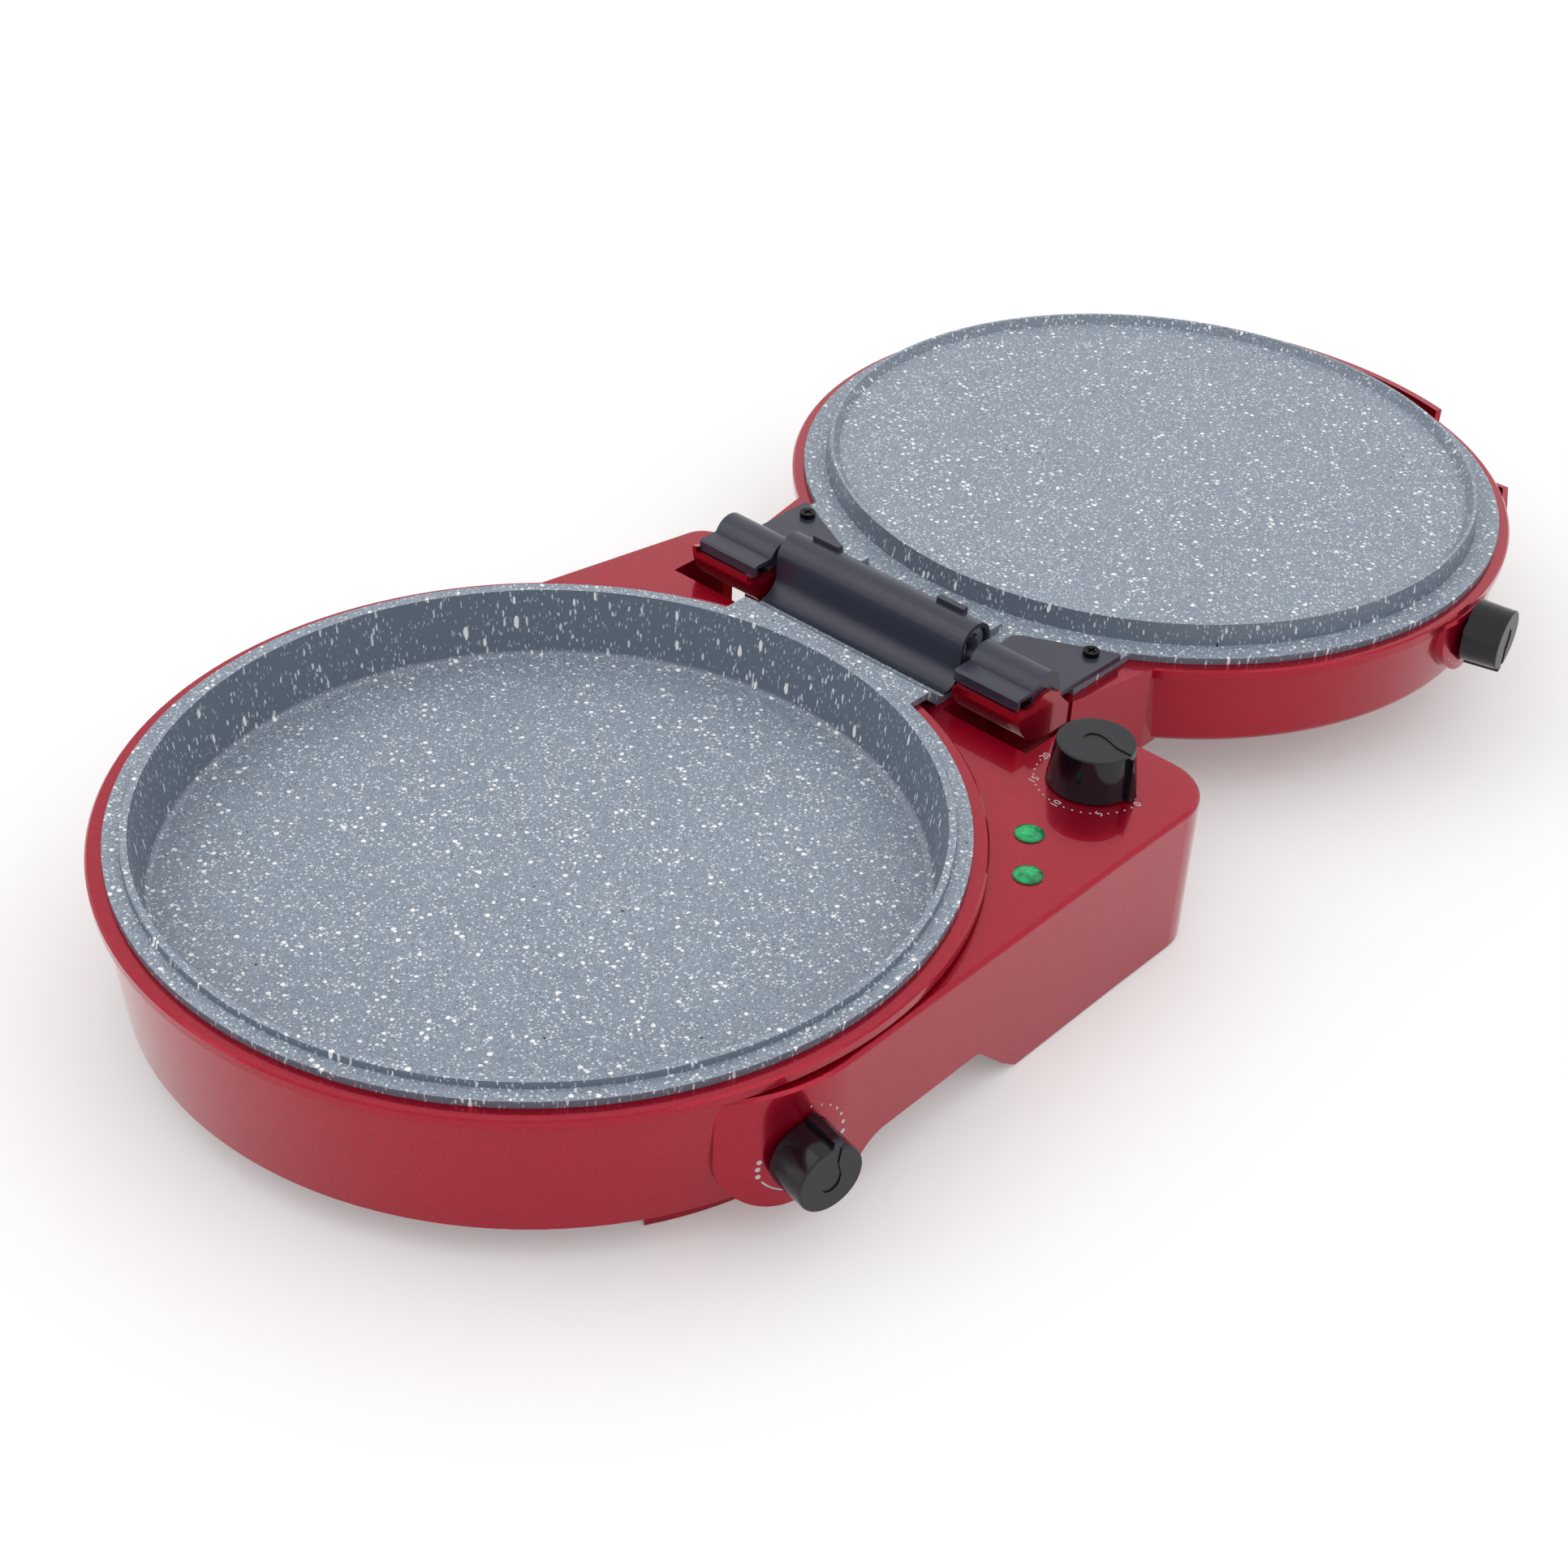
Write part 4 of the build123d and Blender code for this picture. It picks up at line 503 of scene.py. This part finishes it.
def ring_of(bm, centre, radius, height, turn=0.0):
    """A circle of vertices at a height, turned about its own middle."""
    place = Matrix.Translation(centre + Vector((0, 0, height))) @ Matrix.Rotation(turn, 4, "Z")
    return bmesh.ops.create_circle(bm, segments=lens_sides, radius=radius, matrix=place)["verts"]


def edges_of(vertices):
    """The edges that run between these vertices."""
    kept = set(vertices)
    return list({edge for vertex in vertices for edge in vertex.link_edges if set(edge.verts) <= kept})


bm = bmesh.new()
half_step = math.pi / lens_sides
for centre in lamp_centres:
    rings = [
        ring_of(bm, centre, lens_stem_radius, deck_height - lens_stem),
        ring_of(bm, centre, lens_stem_radius, deck_height),
        ring_of(bm, centre, lens_radius, deck_height),
        ring_of(bm, centre, lens_radius, deck_height + girdle_height),
        ring_of(bm, centre, break_radius, deck_height + break_height, half_step),
        ring_of(bm, centre, table_radius, deck_height + girdle_height + crown_height),
    ]
    loops = [edges_of(ring) for ring in rings]
    for lower, upper in zip(loops, loops[1:]):
        bmesh.ops.bridge_loops(bm, edges=lower + upper)
    for loop in (loops[0], loops[-1]):
        bmesh.ops.contextual_create(bm, geom=loop)
crown_faces = [face for face in bm.faces
               if face.calc_center_median().z > deck_height and len(face.verts) == 4]
bmesh.ops.triangulate(bm, faces=crown_faces)
jewels = finish_piece(bm, "lens_jewels", green_acrylic, "base")
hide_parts("indicator_lenses")

# %% [markdown]
# ## Printed scales
#
# The scales are pad-printed in a silver ink only a few hundredths of a millimetre thick. An image
# could hold them, but modelled as thin raised shapes they stay sharp from close up, and they also
# exist in the exported mesh. Ink lies a little thicker here and there, which a fine noise shows.

# %% Silver printing ink
def printing_ink():
    material, tree, shader, place = start_material("silver_pad_printing_ink", {
        "Metallic": 0.2, "Roughness": 0.45})
    fade = add_node(tree, "ShaderNodeTexNoise", {"Vector": place, "Scale": repeats(1.5), "Detail": 2.0})
    colour = add_node(tree, "ShaderNodeMix", {
        "Factor": fade.outputs[0], "A": linear("#b9b6b9"), "B": linear("#d8d6d8")}, data_type="RGBA")
    tree.links.new(in_use(colour.outputs, "Result"), shader.inputs["Base Color"])
    return material


silver_ink = printing_ink()
ink_height = 0.06 * mm
print("made", silver_ink.name, "to lie", round(ink_height / mm, 2), "mm thick")

# %% [markdown]
# Numbers start as text, because Blender's own font already has their outlines. A text object is
# flat, so extruding it gives the ink its thickness, and it is then turned into a mesh that can be
# joined with the dots. Digits are lower than the size of their font, so their share of it is a value.

# %% Number shapes from text
number_height = 3.4 * mm
digit_share = 0.72


def number_mesh(text):
    """A flat number as a thin raised mesh, its middle at the origin, reading along +X."""
    curve = bpy.data.curves.new("number_" + text, "FONT")
    curve.body = text
    curve.align_x = "CENTER"
    curve.align_y = "CENTER"
    curve.size = number_height / digit_share
    curve.extrude = ink_height / 2
    curve.resolution_u = 3
    holder = bpy.data.objects.new("number_" + text, curve)
    mesh = bpy.data.meshes.new_from_object(holder)
    bpy.data.objects.remove(holder)
    bpy.data.curves.remove(curve)
    return mesh


print("digits are", round(number_height / mm, 1), "mm high")

# %% [markdown]
# The timer runs from 0 to 20 minutes over half a turn, so its scale is a half circle of dots on the
# deck, from right to left past the user's side, with a number at every fifth minute. The numbers are
# all turned one way, upright to somebody at the right of the appliance.

# %% Timer scale on the deck
scale_radius = 23.1 * mm
minutes = 20
number_step = 5
dot_radius = 0.42 * mm
number_turn = math.radians(90)

bm = bmesh.new()
for minute in range(minutes + 1):
    angle = -math.pi * minute / minutes
    spot = timer_centre + Vector((
        scale_radius * math.cos(angle), scale_radius * math.sin(angle), deck_height + ink_height / 2))
    if minute % number_step:
        bmesh.ops.create_cone(bm, cap_ends=True, segments=12, radius1=dot_radius, radius2=dot_radius,
                              depth=ink_height, matrix=Matrix.Translation(spot))
    else:
        shape = number_mesh(str(minute))
        shape.transform(Matrix.Translation(spot) @ Matrix.Rotation(number_turn, 4, "Z"))
        bm.from_mesh(shape)
        bpy.data.meshes.remove(shape)
finish_piece(bm, "timer_scale", silver_ink, "base")

# %% [markdown]
# The thermostat marks lie on the bulged casing round each knob, so their places are first laid out
# on a plane across the knob and then dropped onto the casing along the knob's axis. A tree of the
# casing's faces answers where each one lands and which way the surface faces there.

# %% Drop marks onto the curved casing
start_away = 12 * mm


def casing_tree(node):
    """The faces of a fixed piece, ready to be hit by rays."""
    triangles = bmesh.new()
    triangles.from_mesh(nodes[node].data)
    tree = BVHTree.FromBMesh(triangles)
    triangles.free()
    return tree


def knob_frame(joint_name):
    """Middle of a knob's seat with the directions along the wall, up the wall and out of it."""
    seat, outwards = knob_seat(joint_name)
    along = Vector((0, 0, 1)).cross(outwards).normalized()
    return seat, along, outwards.cross(along), outwards


def drop(tree, joint_name, radius, angle):
    """Where the casing lies under a point at that radius and angle round the knob, and its normal."""
    seat, along, upwards, outwards = knob_frame(joint_name)
    aim = seat + radius * (math.cos(angle) * along + math.sin(angle) * upwards) + start_away * outwards
    spot, normal = tree.ray_cast(aim, -outwards)[:2]
    return spot, (normal if normal.dot(outwards) > 0 else -normal)


def add_dot(bm, spot, normal, radius):
    """A round dot of ink that lies on the casing."""
    turn = normal.to_track_quat("Z", "Y").to_matrix().to_4x4()
    bmesh.ops.create_cone(bm, cap_ends=True, segments=16, radius1=radius, radius2=radius,
                          depth=ink_height, matrix=Matrix.Translation(spot + normal * ink_height / 2) @ turn)


def add_arc(bm, tree, joint_name, radius, start, end, width, steps=14):
    """A printed line that follows the casing; each row is its section, two corners low and two high."""
    rows = []
    for step in range(steps + 1):
        angle = start + (end - start) * step / steps
        row = []
        for side, lift in ((-0.5, 0), (0.5, 0), (0.5, 1), (-0.5, 1)):
            spot, normal = drop(tree, joint_name, radius + side * width, angle)
            row.append(bm.verts.new(spot + normal * ink_height * lift))
        rows.append([bm.edges.new((row[i], row[(i + 1) % 4])) for i in range(4)])
    for near, far in zip(rows, rows[1:]):
        bmesh.ops.bridge_loops(bm, edges=near + far)
    for row in (rows[0], rows[-1]):
        bmesh.ops.contextual_create(bm, geom=row)


print("rays start", round(start_away / mm, 1), "mm out from the joint")

# %% [markdown]
# Small dots mean little heat and the largest mean much, and an arc at the end marks the stretch that
# is switched off. Angles are in degrees and count anticlockwise from the right, as seen from outside.
# Each row of dots is one formula for angle, distance and size, in millimetres. On the lid a short row
# of equal dots shows beside the knob.

# %% Thermostat marks of base and lid
mark_radius = 19.4 * mm
off_radius = 17.2 * mm
arc_width = 0.6 * mm
warm_start, warm_step, warm_dots = 80, -14.2, 7
least_dot, dot_growth = 0.38, 0.02
hot_start, hot_step, hot_dots = 180, 11.5, 3
hot_dot, hot_inset, hot_drift = 1.0, 1.6, 0.8
off_arc = (213, 262)
lid_start, lid_step, lid_dots = 218, 15, 4
lid_dot = 0.5


def thermostat_marks(name, body, casing, joint_name, dots, arc=None):
    """Dots, given as angle, distance from the axis and own radius, and an arc between two angles."""
    tree = casing_tree(casing)
    bm = bmesh.new()
    for angle, distance, radius_mm in dots:
        spot, normal = drop(tree, joint_name, distance, math.radians(angle))
        add_dot(bm, spot, normal, radius_mm * mm)
    if arc:
        start, end = (math.radians(angle) for angle in arc)
        add_arc(bm, tree, joint_name, off_radius, start, end, arc_width)
    finish_piece(bm, name, silver_ink, body)


lower_dots = [(warm_start + warm_step * i, mark_radius, least_dot + dot_growth * i ** 2)
              for i in range(warm_dots)]
lower_dots += [(hot_start + hot_step * i, off_radius - (hot_inset - hot_drift * i) * mm, hot_dot)
               for i in range(hot_dots)]
thermostat_marks("lower_thermostat_marks", "base", "base_housing", "lower_thermostat_turn",
                 lower_dots, arc=off_arc)
upper_dots = [(lid_start + lid_step * i, off_radius, lid_dot) for i in range(lid_dots)]
thermostat_marks("upper_thermostat_marks", "lid", "lid_housing", "upper_thermostat_turn", upper_dots)
print("marks at", round(off_radius / mm, 1), "to", round(mark_radius / mm, 1), "mm from the axis")

# %% [markdown]
# ## Floor, light and camera
#
# The floor is plain and pale, wide enough to fill the picture, and keeps the soft shadow that seats
# the object. Seen straight on, in a mirror or through glass it glows a little, so the background is
# white although the floor throws only plain light onto the object. A brighter lamp would whiten it
# too, but it would also bleach the red.

# %% What is seen and what lights
def seen_directly(tree):
    """1 for what the camera sees straight on, in a mirror or through glass, 0 for light on the object."""
    rays = add_node(tree, "ShaderNodeLightPath")
    mirrored = add_node(tree, "ShaderNodeMath", {
        0: rays.outputs["Is Camera Ray"], 1: rays.outputs["Is Glossy Ray"]}, operation="ADD")
    seen = add_node(tree, "ShaderNodeMath", {
        0: mirrored.outputs[0], 1: rays.outputs["Is Transmission Ray"]}, operation="ADD", use_clamp=True)
    return seen.outputs[0]


floor_lift = 0.2
print("background is lifted by", floor_lift, "where it is seen")

# %% Floor
floor_size = 9.0


def floor_paint():
    material, tree, shader, place = start_material("matt_white_studio_floor", {
        "Roughness": 0.9, "Specular IOR Level": 0.1})
    clouds = add_node(tree, "ShaderNodeTexNoise", {"Vector": place, "Scale": repeats(800.0)})
    colour = add_node(tree, "ShaderNodeMix", {
        "Factor": clouds.outputs[0], "A": linear("#e2e2e2"), "B": linear("#e8e8e8")}, data_type="RGBA")
    tree.links.new(in_use(colour.outputs, "Result"), shader.inputs["Base Color"])
    lift = add_node(tree, "ShaderNodeMath", {0: seen_directly(tree), 1: floor_lift}, operation="MULTIPLY")
    shader.inputs["Emission Color"].default_value = (1.0, 1.0, 1.0, 1.0)
    tree.links.new(lift.outputs[0], shader.inputs["Emission Strength"])
    return material


bm = bmesh.new()
bmesh.ops.create_grid(bm, x_segments=1, y_segments=1, size=floor_size / 2)
floor_mesh = bpy.data.meshes.new("floor")
bm.to_mesh(floor_mesh)
bm.free()
floor_mesh.materials.append(floor_paint())
floor = bpy.data.objects.new("floor", floor_mesh)
bpy.context.scene.collection.objects.link(floor)
print("floor of", floor_size, "m")

# %% [markdown]
# The world does as the floor does: it is white to the eye, and lights the object as a cove that is
# brighter overhead than along the horizon. A world of one even grey would light the walls of the
# casings as much as their tops, and round forms would look flat.

# %% Cove light from the world
horizon_light = 0.37
overhead_light = 1.07
world = bpy.data.worlds.new("pale_cove")
bpy.context.scene.world = world
world.use_nodes = True
sky = world.node_tree
direction = add_node(sky, "ShaderNodeTexCoord").outputs["Generated"]
height = add_node(sky, "ShaderNodeSeparateXYZ", {"Vector": direction}).outputs["Z"]
cove = add_node(sky, "ShaderNodeMapRange", {
    "Value": height, "From Min": 0.0, "From Max": 0.6, "To Min": horizon_light, "To Max": overhead_light},
    interpolation_type="SMOOTHSTEP")
backdrop = add_node(sky, "ShaderNodeMix", {
    "Factor": seen_directly(sky), "A": cove.outputs["Result"], "B": 1.0})
sky.links.new(in_use(backdrop.outputs, "Result"), sky.nodes["Background"].inputs["Color"])
print("cove light from", horizon_light, "to", overhead_light)

# %% [markdown]
# Two large area lamps stand in for the softboxes of a studio: one from the left front, and a weaker
# one from the right. Large lamps give broad soft highlights, which model the round forms, and the
# blurred edge of the shadow.

# %% Soft lamps
def soft_lamp(name, place, aim, size, power):
    """A square area lamp at a place, facing the point it is aimed at."""
    light = bpy.data.lights.new(name, "AREA")
    light.shape = "SQUARE"
    light.size = size
    light.energy = power
    lamp = bpy.data.objects.new(name, light)
    lamp.location = place
    lamp.rotation_euler = (Vector(aim) - Vector(place)).to_track_quat("-Z", "Y").to_euler()
    bpy.context.scene.collection.objects.link(lamp)


object_middle = (0, 0, 0.05)
soft_lamp("left_front_softbox", (-1.6, -1.5, 2.0), object_middle, size=2.0, power=8)
soft_lamp("right_softbox", (2.1, 0.2, 1.5), object_middle, size=1.6, power=4)

# %% [markdown]
# The camera stands to the right of the user and looks down on the open appliance. Its place, turn,
# tilt and lens were solved from the two circles of the plates, which are equal on the real object.
# It also leans a little to one side, as a hand-held one does.

# %% Camera
camera_place = Vector((576.3, -745.0, 663.8)) * mm
camera_turn = math.radians(40.68)
camera_tilt = math.radians(35.60)
camera_lean = math.radians(2.96)
camera_lens = 59.12

view = bpy.data.cameras.new("camera")
view.sensor_width = 36.0
view.lens = camera_lens
view.clip_start = 0.01
camera = bpy.data.objects.new("camera", view)
aim = Euler((math.pi / 2 - camera_tilt, 0, camera_turn)).to_matrix().to_4x4()
camera.matrix_world = Matrix.Translation(camera_place) @ aim @ Matrix.Rotation(camera_lean, 4, "Z")
bpy.context.scene.collection.objects.link(camera)
bpy.context.scene.camera = camera
bpy.context.scene.view_settings.view_transform = "Standard"
print("camera at", [round(c, 3) for c in camera_place])
